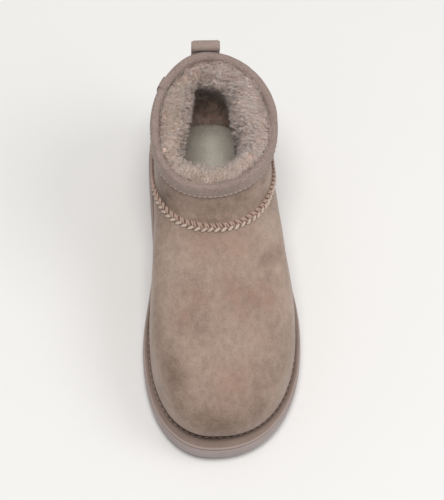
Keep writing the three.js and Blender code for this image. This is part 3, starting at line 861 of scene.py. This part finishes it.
class Tree:
    """A geometry tree with named inputs, and a short way to add a node."""

    def __init__(self, name, **inputs):
        self.tree = bpy.data.node_groups.new(name, "GeometryNodeTree")
        self.tree.interface.new_socket("Geometry", in_out="INPUT", socket_type="NodeSocketGeometry")
        for key, (kind, value) in inputs.items():
            socket = self.tree.interface.new_socket(
                key.replace("_", " ").capitalize(), in_out="INPUT", socket_type="NodeSocket" + kind
            )
            if value is not None:
                socket.default_value = value
        self.tree.interface.new_socket("Geometry", in_out="OUTPUT", socket_type="NodeSocketGeometry")
        self.start = self.tree.nodes.new("NodeGroupInput").outputs
        self.end = self.tree.nodes.new("NodeGroupOutput").inputs

    def add(self, kind, inputs, **settings):
        return add_node(self.tree, kind, inputs, settings)

    def direction(self, name):
        return self.add("GeometryNodeInputNamedAttribute", {"Name": name}, data_type="FLOAT_VECTOR")[0]

    def number(self, name):
        return self.add("GeometryNodeInputNamedAttribute", {"Name": name}, data_type="FLOAT")[0]

    def close(self, instances):
        real = self.add("GeometryNodeRealizeInstances", {"Geometry": instances})[0]
        inputs = {"Geometry": real, "Material": self.start["Material"]}
        finished = self.add("GeometryNodeSetMaterial", inputs)[0]
        self.tree.links.new(finished, self.end["Geometry"])
        return self.tree


def stitch_tree():
    """Sets one shape of thread on each point of a guide, lying along its run and standing on its face."""
    maker = Tree(
        "row of stitches", Shape=("Object", None), Size=("Float", 1.0), Material=("Material", None),
    )
    shape = maker.add("GeometryNodeObjectInfo", {"Object": maker.start["Shape"], "As Instance": True})
    turned = maker.add(
        "FunctionNodeAlignRotationToVector", {"Vector": maker.direction("run")}, axis="X"
    )[0]
    upright = maker.add(
        "FunctionNodeAlignRotationToVector", {"Rotation": turned, "Vector": maker.direction("face")},
        axis="Z", pivot_axis="X",
    )[0]
    instances = maker.add("GeometryNodeInstanceOnPoints", {
        "Points": maker.start["Geometry"], "Instance": shape["Geometry"],
        "Rotation": upright, "Scale": maker.start["Size"],
    })[0]
    return maker.close(instances)


row_of_stitches = stitch_tree()


def point(mesh, directions):
    """Stores a direction for each point of a mesh under each name."""
    for key, values in directions.items():
        layer = mesh.attributes.new(key, "FLOAT_VECTOR", "POINT")
        layer.data.foreach_set("vector", np.asarray(values, np.float32).ravel())


def guide_points(name, points, **directions):
    """A mesh of bare points, in metres from millimetres, with a direction of each kind at each point."""
    mesh = bpy.data.meshes.new(name)
    mesh.from_pydata((np.asarray(points) / 1000).tolist(), [], [])
    point(mesh, directions)
    return placed(name, mesh)


def thread_shape(name, path, thick, sides=6):
    """A short closed length of thread along a path of points, thin at both ends."""
    path = np.asarray(path, float)
    run = unit(np.gradient(path, axis=0))
    across = unit(np.cross(run, np.array([0, 1, 0.001])))
    other = np.cross(run, across)
    angle = np.linspace(0, 2 * np.pi, sides, endpoint=False)
    points = [path[0] - run[0] * thick[0] * 0.5]
    for place, first, second, radius in zip(path, across, other, thick):
        points += [place + radius * (math.cos(a) * first + math.sin(a) * second) for a in angle]
    points.append(path[-1] + run[-1] * thick[-1] * 0.5)
    faces = [[a + 1 for a in face] for face in strips(len(path), sides)]
    last = len(points) - 1
    for k in range(sides):
        following = (k + 1) % sides
        faces.append([0, 1 + k, 1 + following])
        faces.append([last, last - sides + k, last - sides + following])
    return solid(name, points, faces, thread_material)


def spun_thread(name, dark, light):
    shader = Shader(name, 0.7)
    plies = shader.grain(0.0007, detail=2, low=0.3, high=0.7)
    drift = shader.grain(0.012, detail=2)
    colour = shader.blend(plies, dark, light)
    colour = shader.blend(shader.times(drift, 0.35), colour, dark)
    return shader.finish(
        colour, plies, depth=0.0001, strength=0.5, specular_ior_level=0.3,
        sheen_weight=0.15, sheen_roughness=0.4,
    )


thread_material = spun_thread("pale thread", tone(158, 141, 129), tone(188, 172, 160))


def stitch_along(name, points, run, face, length, radius, material, slot_name):
    """A row of short straight stitches, one on each point."""
    x = np.linspace(-length / 2, length / 2, 5)
    proud = 0.1
    sink = 0.9 * radius * (2 * x / length) ** 2
    path = np.column_stack([x, 0 * x, proud - sink])
    thick = radius * np.array([0.5, 0.95, 1, 0.95, 0.5])
    shape = thread_shape(name + "_shape", path, thick)
    guide = guide_points(name + "_guide", points, run=run, face=face)
    row = grown(name, guide, row_of_stitches, material, Shape=shape)
    bpy.data.objects.remove(shape)
    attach(row, "root")


def evenly(points, normals, pitch, closed=True):
    """Places a pitch apart along a line, with the run and the face direction at each."""
    points, normals = np.asarray(points), np.asarray(normals)
    if closed:
        points, normals = np.vstack([points, points[:1]]), np.vstack([normals, normals[:1]])
    length = np.linalg.norm(np.diff(points, axis=0), axis=1).sum()
    count = int(round(length / pitch))
    both = spaced(points, count + 1, normals)
    place, face = both[:-1, :3], both[:-1, 3:]
    run = np.gradient(both[:, :3], axis=0)[:-1]
    return place, run, face


# The row lies just outside the feather, and sinks deeper into the crook behind the toe.
crook_line = rising(
    inset(upper_ring(0)[:, :2], -0.85), lambda y: ledge_height(y) - 0.1 - ease(0, 0.4, (y + 98) / 30),
)
away = np.column_stack([inset(upper_ring(0)[:, :2], -1) - upper_ring(0)[:, :2], np.full(corners, 1.6)])
stitch_along(
    "welt_stitches", *evenly(crook_line, away, pitch=4.5), length=2.4, radius=0.36,
    material=thread_material, slot_name="thread",
)

# ---- Insole ----
# A footbed faced with short clipped wool, greyer than the fleece round it. It fills the floor of the
# boot and is turned down at its edge.


def clipped_wool():
    shader = Shader("clipped wool", 0.95)
    cloud = shader.grain(0.012, detail=3)
    pile = shader.grain(0.0016, detail=4, low=0.3, high=0.7, stretch=(1.6, 0.6, 1))
    colour = shader.blend(cloud, tone(206, 198, 184), tone(222, 215, 201))
    colour = shader.blend(shader.times(pile, 0.45), colour, tone(236, 229, 216))
    return shader.finish(
        colour, pile, depth=0.0008, strength=0.6, specular_ior_level=0.1,
        sheen_weight=0.35, sheen_roughness=0.5,
    )


def insole():
    clear, pile, turned = 0.6, 7, 2.6
    count = 240
    foot = spaced(np.vstack([inside_ring(0)[:, :2], inside_ring(0)[:1, :2]]), count + 1)[:-1]
    rows = table("inset above", (0, -1.9), (0, 3.6), (0.15, 4.8), (0.6, 5.8), (1.4, 6.6), (turned, pile))
    rings = [
        rising(inset(foot, clear + inwards), lambda y: ledge_height(y) + above)
        for inwards, above in zip(*rows.values())
    ]
    points, faces = np.vstack(rings), strips(len(rings), count)
    top_ring = (len(rings) - 1) * count
    points, bottom = cap(points, 0, count, across=2, height=lambda p, z: z)
    points, top = cap(
        points, top_ring, count, across=44,
        height=lambda p, z: z + 0.35 * waves(p, 9, 3) + 0.2 * waves(p, 4, 4),
    )
    return solid("footbed", points, faces + bottom + top, clipped_wool(), crease=70)


footbed = insole()
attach(footbed, "root")
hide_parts("insole")

# ---- Overlock seam ----
# The two panels are butted and oversewn with thick soft thread. Fat loops lie along the vamp's side,
# and from between them thinner strands cross the join to holes in the shaft's edge.

seam_corners = np.arange(vamp_first, vamp_last + 1)
seam_line = on_skin(skin_form, seam_level[seam_corners], seam_corners)
seam_face = on_skin(skin_out, seam_level[seam_corners], seam_corners)
clear_of_ledge = seam_line[:, 2] > ledge_height(seam_line[:, 1]) + 1.2
seam_line, seam_face = seam_line[clear_of_ledge], seam_face[clear_of_ledge]


def seam_core(material):
    """The dark butted edges and thread ends under the stitches, as a low rounded strip whose brown also
    serves as painted shade in the pockets between the threads and under the loops.
    """
    count = 240
    both = spaced(seam_line, count, seam_face)
    place, face = both[:, :3], both[:, 3:]
    run = unit(np.gradient(place, axis=0))
    across = unit(np.cross(face, run))
    section = table(
        "across up",
        (-2.9, -0.9), (-2.7, 0.25), (-1.6, 0.75), (0, 0.95), (1.6, 0.8), (2.9, 0.3), (3.1, -0.9), (0, -1.3),
    )
    corner_lines = [place + across * aside + face * up for aside, up in zip(*section.values())]
    points = np.stack(corner_lines, axis=1).reshape(-1, 3)
    sides_count = len(corner_lines)
    faces = strips(count, sides_count)
    faces.append(list(range(sides_count)))
    faces.append(list(range(len(points) - sides_count, len(points)))[::-1])
    return solid("seam_core", points, faces, material, crease=60)


def seam_shadow():
    shader = Shader("seam edge and painted shade", 0.95)
    pits = shader.grain(0.002, detail=3, low=0.3, high=0.7)
    colour = shader.blend(pits, tone(116, 91, 78), tone(144, 117, 104))
    return shader.finish(colour, pits, depth=0.0004, strength=0.6, specular_ior_level=0.15)


core = seam_core(seam_shadow())
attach(core, "root")
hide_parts("overlock_seam")

loop_thread = spun_thread("loop thread", tone(166, 145, 131), tone(216, 201, 189))
strand_thread = spun_thread("strand thread", tone(158, 131, 117), tone(198, 174, 160))


def tilted(run, face, degrees):
    """Turns each run direction about its face direction."""
    return np.array([
        Matrix.Rotation(math.radians(degrees), 3, Vector(axis)) @ Vector(line)
        for line, axis in zip(run, face)
    ])


def seam_row(name, pitch, phase, across_shift, lift, degrees, shape, material):
    """One family of stitches of the overlock seam, each a little out of its place as if hand fed."""
    stray_along, stray_across = 0.45, 0.3
    place, run, face = evenly(seam_line, seam_face, pitch, closed=False)
    run = unit(run)
    across = unit(np.cross(face, run))
    place = place + run * pitch * phase + across * across_shift + face * lift
    stray = stray_along * run * waves(place, 3, 31)[:, None]
    place = place + stray + stray_across * across * waves(place, 3, 32)[:, None]
    guide = guide_points(name + "_guide", place, run=tilted(run, face, degrees), face=face)
    row = grown(name, guide, row_of_stitches, material, Shape=shape)
    bpy.data.objects.remove(shape)
    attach(row, "root")


def fat_loop():
    x = np.linspace(-2.3, 2.3, 8)
    path = np.column_stack([x, 0.3 * np.sin(x), -0.4 * (x / 2.3) ** 2])
    return thread_shape("fat_loop", path, [0.4, 0.8, 1.0, 1.08, 1.08, 1.0, 0.75, 0.35], sides=8)


def cross_strand():
    x = np.linspace(-2.2, 2.2, 7)
    path = np.column_stack([x, 0.2 * np.cos(x), 0.5 - 0.75 * (x / 2.2) ** 2])
    return thread_shape("cross_strand", path, [0.35, 0.55, 0.62, 0.62, 0.62, 0.52, 0.33], sides=6)


seam_pitch = 4.1
seam_row(
    "seam_loops", seam_pitch, phase=0.5, across_shift=1.6, lift=0.9, degrees=20,
    shape=fat_loop(), material=loop_thread,
)
seam_row(
    "seam_strands", seam_pitch, phase=0.0, across_shift=-1.0, lift=1.0, degrees=122,
    shape=cross_strand(), material=strand_thread,
)
seam_row(
    "seam_strands_second", seam_pitch, phase=0.34, across_shift=-1.0, lift=0.95, degrees=116,
    shape=cross_strand(), material=strand_thread,
)

# ---- Binding ----
# A strip of thinner, finer suede folded over the raw edge of the shaft, sewn through near its lower
# edge with a row of small stitches. Its two ends lap at the back of the medial side.

climb = np.linalg.norm(np.diff(skin_form[::-1], axis=0), axis=2)
down_from_rim = np.vstack([np.zeros((1, corners)), np.cumsum(climb, axis=0)])


def rim_ring(depth, below):
    """A ring set in from the outside by a depth and down from the rim, or up where below is negative."""
    below = np.broadcast_to(np.asarray(below, float), (corners,))
    depth = np.broadcast_to(np.asarray(depth, float), (corners,))
    level = np.array([
        np.interp(max(below[k], 0), down_from_rim[:, k], level_rows[::-1]) for k in range(corners)
    ])
    point = on_skin(skin_form, level) - on_skin(skin_out, level) * depth[:, None]
    return point + on_skin(skin_up, level) * np.maximum(-below, 0)[:, None]


binding_suede = suede(
    "binding suede", tone(118, 101, 93), tone(180, 163, 155), tone(150, 126, 116),
    mottled=0.35, grainy=0.55,
)
binding_section = table(
    "out below",
    (0.3, 9.4), (0.7, 9.9), (1.15, 9.5), (1.4, 8.7), (1.3, 7.9), (1.5, 6.6), (1.6, 5), (1.55, 3.2),
    (1.4, 1.6), (1.15, 0.2), (0.7, -0.8), (-0.1, -1.35), (-1.1, -1.4), (-2.3, -1), (-3.4, -0.1),
    (-4.1, 1.2), (-4.4, 2.8), (-4.4, 4.8), (-4.2, 6.6), (-3.6, 7.1), (-2.1, 6.8), (-2.1, 3), (-2.1, -0.3),
    (-0.9, -0.45), (0.3, -0.3), (0.3, 4),
)


def bind():
    """The strip round the collar: its lower edge sways, and its outer face is slightly puffed."""
    sway = 0.35 * waves(on_skin(skin_form, np.full(corners, float(top_level))), 22, 7)
    puffed = 0.12
    rings = []
    for out, below in zip(*binding_section.values()):
        puff = puffed * waves(rim_ring(-out, below), 5, 8) if out > 0.4 or below < 0 else 0
        rings.append(rim_ring(-(out + puff), below + sway * (below > 4)))
    points = np.vstack(rings)
    faces = strips(len(rings), corners, wrap_rows=True)
    return solid("binding_strip", points, faces, binding_suede, painted=nap_with_painted_light(points), crease=65)


binding = bind()
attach(binding, "root")
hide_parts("binding")

# Where the lap starts and how far it goes, in corners, and how proud of the strip it stands.
lap_at, lap_length, lap_proud = corners - 46, 9, 1.0


def binding_lap():
    """The strip's end, folded under and laid over its start."""
    rows = [
        (out + (lap_proud if out > 0.2 or below < 0 else 0), below - (lap_proud if below < 0 else 0))
        for out, below in list(zip(*binding_section.values()))[:-1]
    ]
    rings = [rim_ring(-out, below) for out, below in rows]
    reach = range(lap_at, lap_at + lap_length + 1)
    points = np.array([[ring[k % corners] for ring in rings] for k in reach]).reshape(-1, 3)
    count = len(rows)
    faces = strips(len(reach), count)
    faces.append(list(range(count)))
    faces.append(list(range(len(points) - count, len(points)))[::-1])
    return solid("binding_lap", points, faces, binding_suede, painted=nap_with_painted_light(points), crease=50)


lap = binding_lap()
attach(lap, "root")

binding_thread = spun_thread("binding thread", tone(158, 141, 133), tone(196, 180, 171))
binding_row = rim_ring(-1.5, 8.3)
binding_face = on_skin(skin_out, np.full(corners, top_level - 0.7))
stitch_along(
    "binding_stitches", *evenly(binding_row, binding_face, pitch=3.3), length=2.1, radius=0.34,
    material=binding_thread, slot_name="thread",
)

# ---- Pull loop ----
# A strap of suede sewn double at its edges and bent into a loop, both ends caught under stitches on
# the outside of the collar's back. A finger goes through it to pull the boot on.

loop_suede = suede(
    "loop suede", tone(134, 117, 109), tone(182, 165, 157), tone(158, 134, 124), mottled=0.5,
)
loop_width, loop_thick = 18.2, 1.3
back_x, back_y, back_z = (levels[key][top_level] for key in ("back_x", "back_y", "back_z"))
loop_route = table(
    "out up",
    (5.7, -18), (4.1, -10), (2.7, -1), (1.3, 2.2), (0.9, 4.2), (2.2, 6), (4.9, 6), (6.6, 3.2), (6.4, -3),
    (5.9, -10), (7.4, -18),
)


def pull_loop():
    steps, across = 90, 13
    at = np.linspace(0, len(loop_route["out"]) - 1, steps)
    middle = np.column_stack([back_y + along(loop_route["out"], at), back_z + along(loop_route["up"], at)])
    run = unit(np.gradient(middle, axis=0))
    face = np.column_stack([-run[:, 1], run[:, 0]])
    share = np.linspace(-1, 1, across)
    rounding = np.sqrt(np.clip(1 - np.abs(share) ** 14, 0, 1)) * 0.5 + 0.02
    hem, hem_dip, hem_reach = 0.8, 0.16, 0.05  # the dip in millimetres, the others in half widths
    seam_dip = hem_dip * np.exp(-((np.abs(share) - hem) / hem_reach) ** 2)
    grids = []
    for side in (1, -1):
        thick = loop_thick * rounding - seam_dip
        yz = middle[:, None] + side * face[:, None] * thick[None, :, None]
        x = np.broadcast_to(back_x + share * loop_width / 2, yz.shape[:2])
        grids.append(np.dstack([x, yz[:, :, 0], yz[:, :, 1]]))
    points = np.vstack([grid.reshape(-1, 3) for grid in grids])
    ruffle = 0.15 * waves(points, 6, 9)
    points[:, 1] += ruffle
    faces = sheet_faces(steps, across, False)
    piece = solid("pull_loop_strap", points, faces, loop_suede, painted=nap_with_painted_light(points), crease=60)
    rows = []
    for sign in (-1, 1):
        for side in (1, -1):
            yz = middle + side * face * (loop_thick / 2 - 0.08)
            x = np.full(steps, back_x + sign * hem * loop_width / 2)
            normal = np.column_stack([0 * x, side * face])
            rows.append(evenly(np.column_stack([x, yz]), normal, pitch=3.0, closed=False))
    return piece, [np.vstack(parts) for parts in zip(*rows)]


loop, loop_rows = pull_loop()
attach(loop, "root")
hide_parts("pull_loop")
stitch_along(
    "pull_loop_stitches", *loop_rows, length=1.9, radius=0.26, material=binding_thread, slot_name="thread",
)

# ---- Fleece ----
# The sheepskin's own wool, left long inside the boot. It swells out over the collar's inner edge as a
# puffy ring, leans in and down into the shaft, and is pressed flatter round the foot.

wool_crown = table(
    "depth below",
    (4, 14), (4, 7.9), (4.6, 7.4), (4.9, 4.6), (6, 2.9), (8.2, 2), (11.6, 2.4), (15.4, 5),
    (18.2, 10), (19.4, 17),
)


def fleece_wool(name, scatter):
    """Cream wool, uneven from lock to lock, browner where painted shade is laid on and warmer at its roots.
    """
    shader = Shader(name, 0.9)
    locks = shader.grain(0.006, detail=3, low=0.3, high=0.7)
    amount = shader.plus(shader.times(locks, 0.65), shader.times(shader.value("lock"), 0.5))
    colour = shader.blend(amount, tone(236, 203, 188), tone(255, 241, 232))
    drift = shader.plus(shader.times(shader.grain(0.013), 0.4), 0.35)
    # Painted shade: browner and darker where the painted wool shade value is high.
    colour = shader.blend(shader.times(shader.value("painted_wool_shade"), drift), colour, tone(208, 180, 156))
    colour = shader.blend(shader.value("root"), colour, tone(214, 182, 164))
    return shader.finish(
        colour, shader.grain(0.0012, detail=3), depth=0.0004, strength=0.4,
        specular_ior_level=0.15, sheen_weight=0.5, sheen_roughness=0.5,
        subsurface_weight=scatter, subsurface_radius=(1, 0.93, 0.87), subsurface_scale=0.0015,
    )


fleece = fleece_wool("fleece", scatter=0.35)
matted = fleece_wool("matted wool", scatter=0)

# How the wool stands round the collar, by the bearing of each corner from its middle.
rim = rim_ring(0, 0)
bearing = np.degrees(np.arctan2(rim[:, 1] - rim[:, 1].mean(), rim[:, 0] - rim[:, 0].mean()))
# Where the wool stands further in or less far in than elsewhere: bearing, half width, millimetres.
bulges = table("bearing wide more", (12, 30, 3.4), (66, 20, -3.5), (108, 22, -7.5), (-142, 28, -3.5))
swell = sum(
    more * np.exp(-(((bearing - middle) / wide) ** 2)) for middle, wide, more in zip(*bulges.values())
)
in_front_of_ankle = np.exp(-(((bearing + 80) / 45) ** 2))


def wool_bed():
    """The matted wool under the tufts, as a closed sleeve, with the ways down and round it.

    It is fullest on the lateral side and parted at the back, where the heel has pushed it aside.
    """
    behind_skin, hidden_crown_rows = 4, 4
    skin_rows = np.linspace(0, top_level - 2.2, 16)
    drops = np.interp(skin_rows, level_rows, down_from_rim[::-1].mean(axis=1))
    outer = [rim_ring(behind_skin, drop) for drop in drops]
    crown_at = np.linspace(0, len(wool_crown["depth"]) - 1, 34)
    crown = []
    for depth, below in zip(along(wool_crown["depth"], crown_at), along(wool_crown["below"], crown_at)):
        crown.append(rim_ring(depth + swell * ease(0, 1, (depth - 6) / 12), below))
    inner_levels = np.linspace(top_level - 2.3, 0, 36)
    inner = [
        inside_ring(level, ease(1, -0.4, level / 5) - swell * ease(0, 1, (level - 3) / 3.7))
        for level in inner_levels
    ]
    rings = outer + crown + inner
    grid = np.stack(rings)
    up = np.roll(grid, -1, axis=0) - np.roll(grid, 1, axis=0)
    turn = np.roll(grid, -1, axis=1) - np.roll(grid, 1, axis=1)
    out = np.cross(up, turn)
    out = unit(out)
    up = unit(up)
    turn = unit(turn)
    shown = np.zeros(len(rings))
    shown[len(outer) + hidden_crown_rows:] = 1
    lump, small_lump = 2.8, 0.5
    lumps = lump * waves(grid, 13, 11) + small_lump * waves(grid, 5, 12)
    grid = grid + out * (lumps * shown[:, None])[:, :, None]
    return grid, up, turn, len(outer), len(crown)


wool_grid, wool_down, wool_turn, outer_rows, crown_rows = wool_bed()
wool_points = wool_grid.reshape(-1, 3)
wool_faces = strips(len(wool_grid), corners, wrap_rows=True)
bed = solid("wool_bed", wool_points, wool_faces, matted, painted={"root": np.full(len(wool_points), 0.1)})
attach(bed, "root")


def fibre(length, thick, lean, curl, start, gathered):
    """One fibre of wool, a thin closed spindle that bends over as it rises and nears its neighbours."""
    path = []
    for share in (0, 0.38, 0.74, 1):
        rise = length * share * math.cos(lean * share)
        reach = length * share * math.sin(lean * share)
        swing = curl * math.sin(share * 4.2)
        path.append(Vector((reach, swing, rise)) + start * (1 - gathered * share))
    points = [path[0]]
    whole, tapered = 1, 0.75
    for place, width in zip(path[1:3], (whole, tapered)):
        for k in range(3):
            angle = 2 * math.pi * k / 3
            points.append(place + Vector((math.cos(angle), math.sin(angle), 0.3)) * thick * width / 2)
    points.append(path[3])
    faces = [(0, 1 + (k + 1) % 3, 1 + k) for k in range(3)]
    for k in range(3):
        following = (k + 1) % 3
        faces += [(1 + k, 1 + following, 4 + following), (1 + k, 4 + following, 4 + k)]
        faces.append((4 + k, 4 + following, 7))
    root_tint = [0.3] + [0.12] * 3 + [0.04] * 3 + [0.0]  # one value for each point, from the root up
    return points, faces, root_tint


def tuft_shapes(count, fibres, length, thick, spread, draws):
    """A few different small locks of wool, in a collection for the tree to choose from."""
    rooted, gathered = 0.6, 0.4
    group = bpy.data.collections.new("tufts")
    for number in range(count):
        points, faces, roots = [], [], []
        lean, curl = draws.uniform(0.6, 1.2), draws.uniform(-1.3, 1.3)
        for _ in range(fibres):
            start = Vector((draws.uniform(-spread, spread), draws.uniform(-spread, spread), -rooted))
            some, its_faces, its_roots = fibre(
                length * draws.uniform(0.8, 1.15), thick * draws.uniform(0.8, 1.25),
                lean * draws.uniform(0.85, 1.15), curl * draws.uniform(0.4, 1), start, gathered,
            )
            faces += [[len(points) + k for k in face] for face in its_faces]
            points += some
            roots += its_roots
        mesh = bpy.data.meshes.new(f"tuft_{number}")
        mesh.from_pydata([tuple(place / 1000) for place in points], [], faces)
        paint(mesh, {"root": roots})
        mesh.shade_smooth()
        group.objects.link(bpy.data.objects.new(f"tuft_{number}", mesh))
    return group


def tuft_tree():
    """Scatters tufts over a bed, each rooted on its face and laid over along the wool's lean."""
    maker = Tree(
        "scattered tufts", Tufts=("Collection", None), Density=("Float", 1.0), Turn=("Float", 0.6),
        Seed=("Int", 1), Material=("Material", None),
    )
    scattered = maker.add("GeometryNodeDistributePointsOnFaces", {
        "Mesh": maker.start["Geometry"], "Density": maker.start["Density"], "Seed": maker.start["Seed"],
    })
    upright = maker.add(
        "FunctionNodeAlignRotationToVector", {"Vector": scattered["Normal"]}, axis="Z"
    )[0]
    laid = maker.add(
        "FunctionNodeAlignRotationToVector", {"Rotation": upright, "Vector": maker.direction("lean")},
        axis="X", pivot_axis="Z",
    )[0]
    least = maker.add("ShaderNodeMath", {0: maker.start["Turn"], 1: -1.0}, operation="MULTIPLY")[0]
    turn = maker.add(
        "FunctionNodeRandomValue", {"Min": least, "Max": maker.start["Turn"], "Seed": maker.start["Seed"]},
    )
    angle = maker.add("ShaderNodeCombineXYZ", {"Z": turn["Value"]})[0]
    turned = maker.add(
        "FunctionNodeRotateRotation", {"Rotation": laid, "Rotate By": angle}, rotation_space="LOCAL"
    )[0]
    shapes = maker.add("GeometryNodeCollectionInfo", {
        "Collection": maker.start["Tufts"], "Separate Children": True, "Reset Children": True,
    })
    instances = maker.add("GeometryNodeInstanceOnPoints", {
        "Points": scattered["Points"], "Instance": shapes[0], "Pick Instance": True,
        "Rotation": turned, "Scale": maker.number("length"),
    })[0]
    shade = maker.add("FunctionNodeRandomValue", {"Seed": maker.start["Seed"]})["Value"]
    shaded = maker.add("GeometryNodeStoreNamedAttribute", {
        "Geometry": instances, "Name": "lock", "Value": shade,
    }, data_type="FLOAT", domain="INSTANCE")[0]
    return maker.close(shaded)


scattered_tufts = tuft_tree()
tufts = tuft_shapes(8, fibres=6, length=4.8, thick=0.4, spread=1.8, draws=np.random.default_rng(4))

# The rows of the bed where the bands of tufts meet, from the binding over the crown and down the shaft.
crown_first = outer_rows + 7
collar_first = crown_first + 15
shaft_first = outer_rows + crown_rows + 4
shaft_last = shaft_first + 30

# The wool is darkened a little in front and on the medial side, as painted shade.
painted_wool_shade = np.clip(0.45 - (wool_grid[:, :, 1] - 62) / 150 - wool_grid[:, :, 0] / 60, 0, 1)


def fleece_part(name, first, last, density, seed, length_below, length_above):
    """The tufts on one band of the bed, between two rows of it."""
    rows = slice(first, last + 1)
    points = wool_grid[rows]
    count = len(points)
    from_binding = np.arange(first, last + 1) - crown_first
    combed_rows = 5
    inwards = np.interp(from_binding, (0, combed_rows), (-0.5, 1))[:, None, None]
    broad_sway, fine_sway = 0.9, 0.7
    lean = inwards * wool_down[rows] + broad_sway * wool_turn[rows] * waves(points, 26, 21)[:, :, None]
    lean = lean + fine_sway * wool_turn[rows] * waves(points, 8, 22)[:, :, None]
    mesh = bpy.data.meshes.new(name + "_bed")
    outwards = [face[::-1] for face in strips(count, corners)]
    mesh.from_pydata((points.reshape(-1, 3) / 1000).tolist(), [], outwards)
    mesh.update()
    length = lerp(length_above, length_below, np.linspace(0, 1, count))[:, None]
    length = length * (1 + 0.25 * waves(points, 10, 23))
    near_binding = np.clip(1 - from_binding / combed_rows, 0, 1)[:, None]
    length = length * (1 + (0.25 - 0.75 * in_front_of_ankle) * near_binding)
    paint(mesh, {"length": length, "painted_wool_shade": painted_wool_shade[rows]})
    point(mesh, {"lean": lean})
    guide = placed(name + "_bed", mesh)
    part = grown(name, guide, scattered_tufts, fleece, Tufts=tufts, Density=density, Seed=seed, Turn=0.5)
    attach(part, "root")


fleece_part("fleece_crown", crown_first, collar_first, 800000, seed=5, length_below=1.0, length_above=0.8)
fleece_part("fleece_collar", collar_first, shaft_first, 270000, seed=6, length_below=1.15, length_above=1.0)
fleece_part("fleece_shaft", shaft_first, shaft_last, 76000, seed=7, length_below=0.8, length_above=1.1)
for shape in list(tufts.objects):
    bpy.data.objects.remove(shape)

# ---- Last update ----
# The view layer is brought up to date.

bpy.context.view_layer.update()
